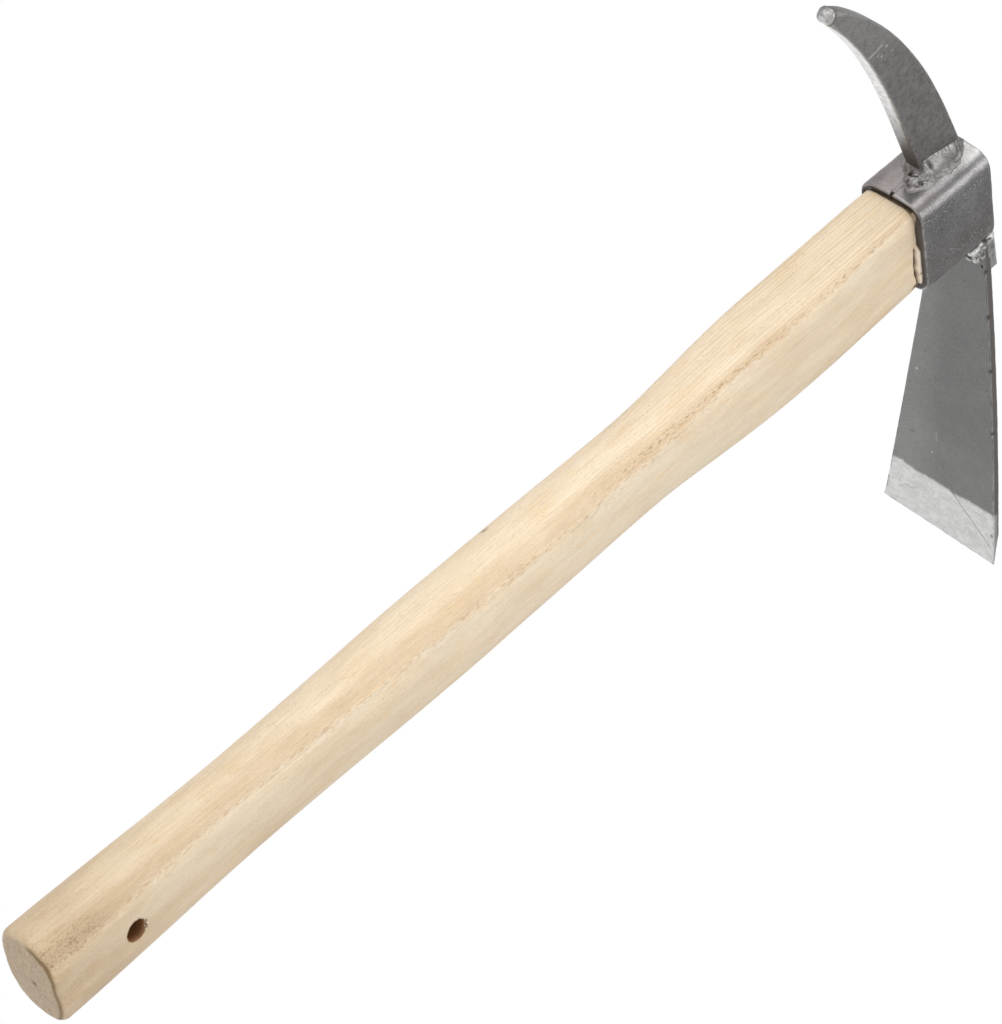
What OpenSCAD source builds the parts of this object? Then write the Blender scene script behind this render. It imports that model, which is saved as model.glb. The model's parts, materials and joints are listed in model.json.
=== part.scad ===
// Hand adze: an ash handle wedged in a folded steel socket, with a blade below and a pick above.
// Origin: centre of the head's front face, on the axis of the eye.
// +X points out of the front of the head, +Y to the user's left, +Z up, towards the pick.

/* [Handle] */
// Length of the handle from its butt end to the back of the socket
handle_len = 406.4; // [330:1:500]
// Width of the handle at its butt end
butt_w = 27.3; // [24:0.1:32]
// Height of the handle at its butt end
butt_h = 38; // [34:0.1:44]
// Width of the handle at its slim grip
grip_w = 24.7; // [22:0.1:28]
// Height of the handle at its slim grip
grip_h = 34.2; // [30:0.1:38]
// Width of the handle at the palm swell
palm_w = 26.3; // [23:0.1:32]
// Height of the handle at the palm swell
palm_h = 36.6; // [32:0.1:42]
// Width of the handle at the throat, ahead of the palm swell
throat_w = 24.9; // [22:0.1:28]
// Height of the handle at the throat
throat_h = 34.5; // [30:0.1:38]
// Width of the handle at the squared shoulder
shoulder_w = 26.4; // [24:0.1:30]
// Height of the handle at the squared shoulder
shoulder_h = 37.3; // [34:0.1:40]
// Width of the handle where it meets the socket
neck_w = 23; // [21:0.1:25]
// Height of the handle where it meets the socket
neck_h = 37.8; // [34:0.1:39]
// Depth of the grip's axis below the eye's axis
grip_drop = 2; // [0:0.1:3]
// Depth of the neck's middle below the eye's axis
neck_drop = 1; // [0:0.1:1.5]
// Offset of the neck's middle to the left of the eye's axis
neck_shift = 0.8; // [-1:0.1:1]
// Rounding of the butt's rim
butt_round = 2.6; // [0.8:0.1:3]

/* [Hanging hole] */
// Radius of the hole across the handle
hole_r = 4; // [3:0.1:6]
// Distance of the hole from the butt end
hole_from_butt = 33.5; // [25:0.5:60]
// Height of the hole above the grip's axis
hole_raise = 1; // [-3:0.1:3]

/* [Socket] */
// Length of the socket along the handle
socket_len = 35.6; // [32:0.1:45]
// Outside width of the socket
socket_w = 28.4; // [27:0.1:30]
// Outside height of the socket
socket_h = 41.2; // [40:0.1:44]
// Thickness of the folded plate
plate_t = 3.8; // [3:0.1:4.2]
// Outside radius of the folded corners
fold_r = 6; // [5:0.1:7]
// Width of the gap where the folded plate's two ends meet
seam_gap = 1.3; // [0.8:0.1:2]
// Offset of that gap to the left of the middle of the top
seam_y = 0; // [-3:0.1:3]
// Length of gap left open at the back of the socket
seam_open = 2.4; // [1:0.1:4]

/* [Blade] */
// Length of the blade below the socket, at its middle
blade_len = 139.8; // [110:0.1:160]
// Width of the blade at the socket
blade_root_w = 22.4; // [20:0.1:24]
// Width of the blade at the cutting edge
blade_edge_w = 54; // [40:0.5:64]
// How far the blade's sides bow outwards between socket and edge
blade_bow = 0.5; // [0:0.1:1.5]
// Thickness of the blade at the socket
blade_root_t = 3.5; // [3:0.1:4.5]
// Thickness of the blade just above its bevel
blade_end_t = 2.9; // [2.4:0.1:3.5]
// Distance of the blade's back face from the socket's front
blade_set = 3.2; // [3:0.1:8]
// Angle by which the blade leans towards the butt where it leaves the socket
blade_lean = 7.6; // [4:0.1:12]
// Radius of the blade's slight curve along its length
blade_curve_r = 2080; // [1200:10:4000]
// Angle by which the cutting edge is out of square
edge_skew = 2.2; // [0:0.1:6]
// Length of the ground bevel on the front face
bevel_len = 11; // [8:0.5:16]

/* [Pick] */
// Length of the pick along its centre line
pick_len = 109.6; // [90:0.1:130]
// Thickness of the bar that the pick is cut from
pick_t = 6.8; // [4:0.1:8]
// Width of the pick at the socket
pick_root_w = 20; // [16:0.1:22]
// Width of the pick at its blunt tip
pick_tip_w = 5.9; // [4:0.1:8]
// Distance of the pick's centre line from the socket's front, at its root
pick_set = 11.9; // [11.9:0.1:16]
// Angle by which the root leans towards the butt
pick_lean = 14.6; // [6:0.1:16]
// How fast the pick's curve tightens from its straight root, in degrees per mm per mm
pick_curl = 0.0049; // [0.001:0.0001:0.006]
// Offset of the pick to the left of the middle of the socket's top
pick_y = 0.7; // [-1:0.1:1]

/* [Welds] */
// Height of the weld mound round the pick's root
pick_weld_h = 5; // [3:0.1:8]
// Length of the mound along the socket's top
pick_weld_len = 30; // [26:0.5:32]
// Width of the mound across the socket's top
pick_weld_w = 16; // [12:0.1:16.4]
// Size of the fillet behind the blade
blade_weld_size = 4; // [3:0.1:6]
// Height of the weld pad in front of the blade
front_pad_h = 15; // [8:0.1:20]
// Width of that pad
front_pad_w = 24.4; // [18:0.1:24.4]
// Thickness of that pad at its top
front_pad_top_t = 1.3; // [0.8:0.1:2]
// Thickness of that pad at its foot
front_pad_foot_t = 4; // [2:0.1:5]

/* [Wedges] */
// Thickness of the wooden wedge at its outer end
wood_wedge_t = 3.6; // [2.5:0.1:4.5]
// Depth of the wooden wedge
wood_wedge_len = 27; // [20:1:30]
// Thickness of the steel wedge at its outer end
steel_wedge_t = 2.4; // [1.5:0.1:3]
// Width of the steel wedge
steel_wedge_w = 13; // [8:0.5:16]
// Depth of the steel wedge
steel_wedge_len = 18; // [12:1:22]

/* [Hidden] */

eye_w = socket_w - 2 * plate_t;
eye_h = socket_h - 2 * plate_t;
eye_r = fold_r - plate_t;
socket_top = socket_h / 2;
socket_back = -socket_len;
butt_x = socket_back - handle_len;
hole_z = hole_raise - grip_drop;

// Places of the handle's sections as shares of its length
grip_at = 0.235;
palm_at = 0.443;
throat_at = 0.675;
shoulder_at = 0.852;
// Squareness of those sections: 2 is an ellipse, and larger is squarer
butt_square = 2.7;
grip_square = 2.5;
shoulder_square = 5;
neck_square = 7;
shoulder_drop = 0.7 * grip_drop;

// Facets round the handle, along it, and along each curved outline
ring_n = 40;
rows_n = 46;
rim_n = 4;
edge_n = 28;
bow_n = 8;
tip_n = 10;
round_n = 48;
pick_sink = 6;
pick_taper = 1.9;
wedge_tip_t = 0.8;
seam_cut_margin = 1;
mound_foot_r = 6;
mound_crown_r = 2;
mound_crown_l = pick_root_w + 1;
mound_crown_w = pick_t + 1.5;
skin = 0.1;
overrun = 60;

steel = [0.42, 0.42, 0.43];
dark_steel = [0.36, 0.36, 0.37];
bead_steel = [0.56, 0.56, 0.56];
ash_wood = [0.90, 0.83, 0.70];
wedge_wood = [0.70, 0.55, 0.38];

// Stations along the handle: distance from the butt, then the section's width, height,
// squareness, height of its middle and offset of its middle.
STATIONS = [
    [0, butt_w, butt_h, butt_square, -grip_drop, 0],
    [grip_at * handle_len, grip_w, grip_h, grip_square, -grip_drop, 0],
    [palm_at * handle_len, palm_w, palm_h, grip_square, -grip_drop, 0],
    [throat_at * handle_len, throat_w, throat_h, grip_square, -grip_drop, 0],
    [shoulder_at * handle_len, shoulder_w, shoulder_h, shoulder_square, -shoulder_drop, 0],
    [handle_len, neck_w, neck_h, neck_square, -neck_drop, neck_shift],
];

function ease(t) = t * t * (3 - 2 * t);

// Index of the station just behind distance s.
function station_before(s, i = 0) =
    i >= len(STATIONS) - 2 || s < STATIONS[i + 1][0] ? i : station_before(s, i + 1);

// The section's values at distance s, easing from each station to the next.
function section_at(s) =
    let (
        i = station_before(s),
        a = STATIONS[i],
        b = STATIONS[i + 1],
        k = ease((s - a[0]) / (b[0] - a[0]))
    )
    [for (j = [1:5]) a[j] + (b[j] - a[j]) * k];

// A value raised to a power, keeping its sign.
function signed_power(v, p) = sign(v) * pow(abs(v), p);

// One ring of points: a superellipse across the handle at distance s, drawn in by inset.
function ring(s, inset) =
    let (q = section_at(s), a = q[0] / 2 - inset, b = q[1] / 2 - inset)
    [for (i = [0:ring_n - 1])
        let (angle = 360 * (i + 0.5) / ring_n)
        [butt_x + s,
         q[4] + a * signed_power(cos(angle), 2 / q[2]),
         q[3] + b * signed_power(sin(angle), 2 / q[2])]];

// The shaft of the handle: rings skinned together, with a rounded rim at the butt.
module shaft() {
    rim = [for (i = [0:rim_n - 1])
        let (angle = 90 * i / rim_n)
        ring(butt_round * (1 - cos(angle)), butt_round * (1 - sin(angle)))];
    rows = [for (i = [0:rows_n])
        ring(butt_round + (handle_len - butt_round) * i / rows_n, 0)];
    rings = concat(rim, rows);
    last = len(rings) - 1;
    sides = [for (k = [0:last - 1], i = [0:ring_n - 1])
        let (j = (i + 1) % ring_n, below = k * ring_n, above = (k + 1) * ring_n)
        each [[above + j, below + j, below + i], [above + i, above + j, below + i]]];
    butt_cap = [for (i = [0:ring_n - 1]) i];
    neck_cap = [for (i = [ring_n - 1:-1:0]) last * ring_n + i];
    polyhedron(points = [for (r = rings) each r], faces = concat(sides, [butt_cap, neck_cap]));
}

// A rounded rectangle, w along Y and h along Z once it is stood up.
module rounded_rect(w, h, r) {
    square([w - 2 * r, h], center = true);
    square([w, h - 2 * r], center = true);
    for (side_x = [-1, 1], side_y = [-1, 1])
        translate([side_x * (w / 2 - r), side_y * (h / 2 - r)])
            circle(r, $fn = round_n);
}

// Extrudes a shape drawn in Y and Z forwards from x = start.
module along_x(start, length)
    translate([start, 0, 0])
        rotate([90, 0, 90])
            linear_extrude(length)
                children();

// Extrudes a shape drawn in X and Z across the head, centred on y = 0.
module across_y(width)
    rotate([90, 0, 0])
        linear_extrude(width, center = true)
            children();

// The wooden wedge's blank: a taper standing on edge, as tall as the eye.
module wood_taper()
    intersection() {
        linear_extrude(eye_h, center = true)
            polygon([[0, -wood_wedge_t / 2], [0, wood_wedge_t / 2],
                     [-wood_wedge_len, wedge_tip_t / 2], [-wood_wedge_len, -wedge_tip_t / 2]]);
        along_x(socket_back, socket_len)
            rounded_rect(eye_w, eye_h, eye_r);
    }

// The steel wedge, driven across the wooden one.
module steel_taper()
    across_y(steel_wedge_w)
        polygon([[0, -steel_wedge_t / 2], [0, steel_wedge_t / 2],
                 [-steel_wedge_len, wedge_tip_t / 2], [-steel_wedge_len, -wedge_tip_t / 2]]);

module handle()
    color(ash_wood)
        difference() {
            union() {
                shaft();
                along_x(socket_back, socket_len)
                    rounded_rect(eye_w, eye_h, eye_r);
            }
            translate([butt_x + hole_from_butt, 0, hole_z])
                rotate([90, 0, 0])
                    cylinder(h = overrun, r = hole_r, center = true, $fn = round_n);
            wood_taper();
            steel_taper();
        }

module socket()
    color(steel)
        difference() {
            along_x(socket_back, socket_len)
                difference() {
                    rounded_rect(socket_w, socket_h, fold_r);
                    rounded_rect(eye_w, eye_h, eye_r);
                }
            translate([-overrun, seam_y - seam_gap / 2, eye_h / 2 - seam_cut_margin])
                cube([2 * overrun, seam_gap, plate_t + 2 * seam_cut_margin]);
        }

// Fills the gap between the folded plate's ends, short of the back.
module seam_weld()
    color(bead_steel)
        translate([socket_back + seam_open, seam_y - seam_gap / 2, eye_h / 2])
            cube([socket_len - seam_open, seam_gap, plate_t]);

// Distance of the blade's back face behind its root at depth h below the socket.
function blade_sweep(h) = h * tan(blade_lean) + h * h / (2 * blade_curve_r);
function blade_t_at(h) = blade_root_t + (blade_end_t - blade_root_t) * min(1, h / blade_len);
function blade_back(h) = -blade_set - blade_sweep(h);
function blade_front(h) = blade_back(h) + blade_t_at(h);

// The blade seen from its side: two gently curved faces.
module blade_profile() {
    depth = blade_len + blade_edge_w * tan(edge_skew) / 2;
    back = [for (i = [0:edge_n])
        let (h = depth * i / edge_n)
        [blade_back(h), -socket_top - h]];
    front = [for (i = [edge_n:-1:0])
        let (h = depth * i / edge_n)
        [blade_front(h), -socket_top - h]];
    polygon(concat(back, front));
}

// Half the blade's width at a fraction t of the way from socket to edge.
function blade_half_w(t) =
    (blade_root_w + (blade_edge_w - blade_root_w) * t) / 2 + 4 * blade_bow * t * (1 - t);

// The blade seen from the front: flaring, bowed sides and a skewed edge.
module blade_outline() {
    function side(sign) = [for (i = [0:bow_n])
        let (t = i / bow_n, drop = sign * blade_edge_w / 2 * tan(edge_skew))
        [sign * blade_half_w(t), -socket_top - t * (blade_len - drop)]];
    left = side(1);
    right = side(-1);
    polygon(concat(left, [for (i = [bow_n:-1:0]) right[i]]));
}

module blade() {
    edge_lean = atan(tan(blade_lean) + blade_len / blade_curve_r);
    bevel_angle = atan(blade_end_t / bevel_len);
    color(dark_steel)
        difference() {
            intersection() {
                across_y(2 * overrun)
                    blade_profile();
                along_x(-overrun, 2 * overrun)
                    blade_outline();
            }
            translate([blade_back(blade_len), 0, -socket_top - blade_len])
                rotate([edge_skew, 0, 0])
                    rotate([0, edge_lean + bevel_angle, 0])
                        translate([0, -overrun, -overrun])
                            cube([overrun, 2 * overrun, 2 * overrun]);
        }
}

// Direction of the pick's centre line at distance s, anticlockwise from +X.
function pick_angle(s) = 90 + pick_lean + pick_curl * max(0, s) * s / 2;

// Points of the centre line, each a step on from the one before, starting sunk in the socket.
function pick_line(n, at = [-pick_set + pick_sink * tan(pick_lean), socket_top - pick_sink], i = 0) =
    i > n ? [] :
    let (angle = pick_angle(pick_s(i + 0.5)), step = (pick_len + pick_sink) / n)
    concat([at], pick_line(n, at + step * [cos(angle), sin(angle)], i + 1));

// Distance along the centre line of point i, counted from the socket's top.
function pick_s(i) = -pick_sink + (pick_len + pick_sink) * i / edge_n;

// Half the pick's width at distance s.
function pick_half_w(s) =
    (pick_root_w + (pick_tip_w - pick_root_w) * pow(max(0, s) / pick_len, pick_taper)) / 2;

// The pick seen from its side: tapering to a rounded tip.
module pick_outline() {
    line = pick_line(edge_n);
    function side(i, sign) =
        let (angle = pick_angle(pick_s(i)))
        line[i] + sign * pick_half_w(pick_s(i)) * [-sin(angle), cos(angle)];
    tip_angle = pick_angle(pick_len);
    inner = [for (i = [0:edge_n]) side(i, 1)];
    tip = [for (i = [1:tip_n - 1])
        let (angle = tip_angle + 90 - 180 * i / tip_n)
        line[edge_n] + pick_tip_w / 2 * [cos(angle), sin(angle)]];
    outer = [for (i = [edge_n:-1:0]) side(i, -1)];
    polygon(concat(inner, tip, outer));
}

// The pick's bar before its foot is cut to the socket's top.
module pick_blank()
    translate([0, pick_y, 0])
        across_y(pick_t)
            pick_outline();

module pick()
    color(dark_steel)
        intersection() {
            pick_blank();
            translate([-3 * overrun, -overrun, socket_top])
                cube([4 * overrun, 2 * overrun, 4 * overrun]);
        }

// Mound of weld round the pick's root, with the pick standing through it.
module pick_weld() {
    crown_x = -pick_set - pick_weld_h * tan(pick_lean);
    color(bead_steel)
        difference() {
            hull() {
                translate([-pick_weld_len / 2 - skin, 0, socket_top])
                    linear_extrude(skin)
                        rounded_rect(pick_weld_len, pick_weld_w, mound_foot_r);
                translate([crown_x, pick_y, socket_top + pick_weld_h - skin])
                    linear_extrude(skin)
                        rounded_rect(mound_crown_l, mound_crown_w, mound_crown_r);
            }
            pick_blank();
        }
}

// Fillet in the corner between the socket's underside and the blade's back face.
module blade_weld_rear()
    color(bead_steel)
        difference() {
            across_y(blade_root_w)
                polygon([[blade_back(0) - blade_weld_size, -socket_top],
                         [blade_back(0) + blade_root_t / 2, -socket_top],
                         [blade_back(blade_weld_size), -socket_top - blade_weld_size]]);
            across_y(2 * overrun)
                blade_profile();
        }

// Pad of weld that runs down the front of the blade from the socket.
module blade_weld_front() {
    inside = blade_root_t / 2;
    foot = -socket_top - front_pad_h;
    color(bead_steel)
        difference() {
            across_y(front_pad_w)
                polygon([[blade_front(0) - inside, -socket_top],
                         [blade_front(0) + front_pad_top_t, -socket_top],
                         [blade_front(front_pad_h) + front_pad_foot_t, foot],
                         [blade_front(front_pad_h) - inside, foot]]);
            across_y(2 * overrun)
                blade_profile();
        }
}

module wood_wedge()
    color(wedge_wood)
        difference() {
            wood_taper();
            steel_taper();
        }

module steel_wedge()
    color(dark_steel)
        steel_taper();

handle();
socket();
seam_weld();
blade();
pick();
pick_weld();
blade_weld_rear();
blade_weld_front();
wood_wedge();
steel_wedge();
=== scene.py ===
"""Looks of the hand adze: an ash handle in a folded steel socket, with a blade below and a pick above."""

import json
import math

import bpy
import numpy as np
from mathutils import Matrix, Vector


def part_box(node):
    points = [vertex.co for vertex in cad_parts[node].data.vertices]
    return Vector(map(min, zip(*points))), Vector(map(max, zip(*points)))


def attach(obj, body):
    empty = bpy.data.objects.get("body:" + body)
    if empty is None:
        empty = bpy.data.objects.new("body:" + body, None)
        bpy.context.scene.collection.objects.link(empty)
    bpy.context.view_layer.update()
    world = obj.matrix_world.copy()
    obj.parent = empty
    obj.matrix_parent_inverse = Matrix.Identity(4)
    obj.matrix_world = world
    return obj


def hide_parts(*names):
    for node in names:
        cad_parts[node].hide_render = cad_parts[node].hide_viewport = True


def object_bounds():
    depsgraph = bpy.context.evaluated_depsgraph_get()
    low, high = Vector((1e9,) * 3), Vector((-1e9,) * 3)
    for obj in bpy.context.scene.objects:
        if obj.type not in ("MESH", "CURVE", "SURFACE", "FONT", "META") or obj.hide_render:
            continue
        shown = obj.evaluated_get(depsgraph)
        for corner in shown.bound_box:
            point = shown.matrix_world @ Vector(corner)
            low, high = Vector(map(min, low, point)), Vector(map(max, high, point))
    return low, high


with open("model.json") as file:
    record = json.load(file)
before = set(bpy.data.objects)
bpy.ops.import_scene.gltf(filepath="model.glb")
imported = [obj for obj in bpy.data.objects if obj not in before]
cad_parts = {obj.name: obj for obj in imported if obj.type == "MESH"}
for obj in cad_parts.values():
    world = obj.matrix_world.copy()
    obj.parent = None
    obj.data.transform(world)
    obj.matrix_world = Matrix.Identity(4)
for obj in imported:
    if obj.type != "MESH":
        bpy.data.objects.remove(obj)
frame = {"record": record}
CAD_LOW, CAD_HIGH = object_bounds()
MM = 0.001


def box_mm(node):
    """A CAD node's lowest and highest corners, in millimetres."""
    low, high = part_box(node)
    return np.array(low) / MM, np.array(high) / MM


SOCKET_LOW, SOCKET_HIGH = box_mm("socket")
SOCKET_BACK = SOCKET_LOW[0]
SOCKET_HALF_W = SOCKET_HIGH[1]
SOCKET_TOP = SOCKET_HIGH[2]
BUTT_X = box_mm("handle")[0][0]
HANDLE_LEN = SOCKET_BACK - BUTT_X
HOLE = next(m for m in frame["record"]["mounts"] if m["name"] == "hang_hole")
HOLE_AT = np.array(HOLE["pos_m"]) / MM
HOLE_R = HOLE["dims"]["r_mm"]
FOLD_R = 6
PLATE_T = 3.8
TENON_HALF_W, TENON_HALF_H, TENON_CORNER = 10.4, 16.8, 2.2
BUTT_ROUND = 2.6

# Sections along the handle: share of its length from the butt, width, height,
# squareness, and the height and sideways place of the section's middle.
STATIONS = np.array([
    [0.000, 27.3, 38.0, 2.7, -2.0, 0.0],
    [0.235, 24.7, 34.2, 2.5, -2.0, 0.0],
    [0.443, 26.3, 36.6, 2.5, -2.0, 0.0],
    [0.675, 24.9, 34.5, 2.5, -2.0, 0.0],
    [0.852, 26.4, 37.3, 5.0, -1.4, 0.0],
    [1.000, 23.0, 37.8, 7.0, -1.0, 0.8],
])


# ---------------------------------------------------------------- repeatable noise

def hashed(cell, seed):
    """A repeatable value from 0 to 1 for each whole-number point."""
    h = (cell[..., 0] * 374761393 + cell[..., 1] * 668265263 + cell[..., 2] * 1274126177
         + seed * 974634777) & 0xFFFFFFFF
    h = ((h ^ (h >> 13)) * 1274126177) & 0xFFFFFFFF
    return ((h ^ (h >> 16)) & 0xFFFF) / 65535.0


def noise(points, size, seed):
    """Smooth value noise from -1 to 1. Size is the grid step in millimetres, one number or one per axis."""
    p = points / np.asarray(size, float)
    cell = np.floor(p).astype(np.int64)
    t = p - cell
    t = t * t * (3 - 2 * t)
    total = 0
    for corner in np.ndindex(2, 2, 2):
        weight = np.prod(np.where(corner, t, 1 - t), axis=-1)
        total = total + weight * hashed(cell + np.array(corner), seed)
    return total * 2 - 1


def layered(points, size, seed, layers=3):
    """Noise with finer layers added, each half as big and half as strong."""
    size = np.asarray(size, float)
    return sum(noise(points, size / 2 ** i, seed + i) / 2 ** i for i in range(layers))


def ease(t):
    """A smooth step from 0 at 0 to 1 at 1."""
    t = np.clip(t, 0, 1)
    return t * t * (3 - 2 * t)


def hill(distance, width):
    """1 at distance 0, falling smoothly to 0."""
    return np.exp(-(distance / width) ** 2)


# ---------------------------------------------------------------- mesh helpers

def mesh_piece(name, points, faces, masks=None):
    """A smooth-shaded object from points in millimetres, with named values stored on its points."""
    mesh = bpy.data.meshes.new(name)
    mesh.from_pydata((np.asarray(points) * MM).tolist(), [], faces)
    for mask, values in (masks or {}).items():
        attribute = mesh.attributes.new(mask, "FLOAT", "POINT")
        attribute.data.foreach_set("value", np.asarray(values, np.float32).ravel())
    mesh.validate()
    mesh.shade_smooth()
    obj = bpy.data.objects.new(name, mesh)
    bpy.context.scene.collection.objects.link(obj)
    return obj


def grid_faces(rows, columns, wrap_rows=False):
    """Quads over rows of points that close round on themselves."""
    r = np.arange(rows if wrap_rows else rows - 1)[:, None]
    c = np.arange(columns)[None, :]
    r2 = (r + 1) % rows
    c2 = (c + 1) % columns
    quads = np.stack([r * columns + c, r * columns + c2, r2 * columns + c2, r2 * columns + c], -1)
    return quads.reshape(-1, 4).tolist()


def closed_skin(rings):
    """Points and faces of rings skinned together and closed by a point at each end."""
    rows, columns = rings.shape[:2]
    points = np.concatenate([rings.reshape(-1, 3), rings[:1].mean(1), rings[-1:].mean(1)])
    faces = grid_faces(rows, columns)
    start = rows * columns
    last = (rows - 1) * columns
    for c in range(columns):
        d = (c + 1) % columns
        faces.append([start, d, c])
        faces.append([start + 1, last + c, last + d])
    return points, faces


def closed_piece(name, rings, masks):
    """A piece skinned from rings, its masks given on the rings. The end points copy the end rings."""
    points, faces = closed_skin(rings)
    masks = {mask: np.concatenate([v.ravel(), v[0, :1], v[-1, :1]]) for mask, v in masks.items()}
    return mesh_piece(name, points, faces, masks)


def ring_normals(rings, row):
    """Outward directions of a grid of rings. One row, away from the ends, tells which way is out."""
    around = np.roll(rings, -1, 1) - np.roll(rings, 1, 1)
    n = np.cross(around, np.gradient(rings, axis=0))
    n = n / np.maximum(np.linalg.norm(n, axis=-1, keepdims=True), 1e-9)
    out = rings[row] - rings[row].mean(0)
    return -n if (n[row] * out).sum() < 0 else n


def resample_open(line, count):
    """Evenly spaced points along an open line."""
    line = np.array(line, float)
    run = np.concatenate([[0], np.cumsum(np.linalg.norm(np.diff(line, axis=0), axis=1))])
    at = np.linspace(0, run[-1], count)
    return np.column_stack([np.interp(at, run, line[:, k]) for k in range(line.shape[1])])


def resample(loop, count):
    """Points spaced evenly round a closed loop, the first one kept."""
    return resample_open(np.vstack([loop, loop[:1]]), count + 1)[:-1]


def with_ends(rings, first, last):
    """Adds rings that shrink towards the middle of each end, at the given shares of the end's size."""
    ends = []
    for ring, shares in ((rings[0], first), (rings[-1], last)):
        middle = ring.mean(0)
        ends.append([middle + (ring - middle) * share for share in shares])
    return np.concatenate([ends[0], rings, ends[1]])


def baked(obj):
    """Replaces an object's mesh by the result of its modifiers."""
    graph = bpy.context.evaluated_depsgraph_get()
    mesh = bpy.data.meshes.new_from_object(obj.evaluated_get(graph), depsgraph=graph)
    obj.modifiers.clear()
    obj.data = mesh
    return obj


def carve(obj, cutter):
    """Cuts one object out of another, then drops the cutter."""
    cut = obj.modifiers.new("cut", "BOOLEAN")
    cut.operation = "DIFFERENCE"
    cut.solver = "EXACT"
    cut.object = cutter
    bpy.context.view_layer.update()
    baked(obj)
    bpy.data.objects.remove(cutter)
    return obj


def block(name, low, high):
    """A plain box, used only as a cutter."""
    corners = [[x, y, z] for x in (low[0], high[0]) for y in (low[1], high[1]) for z in (low[2], high[2])]
    faces = [[0, 1, 3, 2], [4, 6, 7, 5], [0, 4, 5, 1], [2, 3, 7, 6], [0, 2, 6, 4], [1, 5, 7, 3]]
    return mesh_piece(name, corners, faces)


# ---------------------------------------------------------------- material helpers

class Graph:
    """Builds a material's or world's nodes. Any input takes a plain value or another node's output."""

    def __init__(self, owner):
        self.owner = owner
        owner.use_nodes = True
        self.tree = owner.node_tree
        self.tree.nodes.clear()

    def node(self, kind, inputs, output=0, **settings):
        made = self.tree.nodes.new(kind)
        for key, value in settings.items():
            setattr(made, key, value)
        for key, value in inputs.items():
            if isinstance(value, bpy.types.NodeSocket):
                self.tree.links.new(value, made.inputs[key])
            else:
                made.inputs[key].default_value = value
        return made.outputs[output]

    def vector(self, operation, a, b):
        """Vector maths, giving a vector or, for a length, product or distance, a number."""
        output = "Value" if operation in ("LENGTH", "DOT_PRODUCT", "DISTANCE") else "Vector"
        return self.node("ShaderNodeVectorMath", {0: a, 1: b}, output, operation=operation)

    def maths(self, operation, a, b=0.0, clamp=False):
        return self.node("ShaderNodeMath", {0: a, 1: b}, operation=operation, use_clamp=clamp)

    def times(self, a, b, clamp=False):
        return self.maths("MULTIPLY", a, b, clamp)

    def plus(self, a, b, clamp=False):
        return self.maths("ADD", a, b, clamp)

    def remap(self, value, low, high, to_low=0.0, to_high=1.0):
        """A smooth step from one value to another."""
        return self.node("ShaderNodeMapRange", {"Value": value, "From Min": low, "From Max": high,
                                                "To Min": to_low, "To Max": to_high},
                         interpolation_type="SMOOTHSTEP")

    def end(self, kind, shader):
        """Sends a shader to the output, and gives back the finished material or world."""
        output = self.tree.nodes.new(kind)
        self.tree.links.new(shader, output.inputs["Surface"])
        return self.owner


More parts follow.
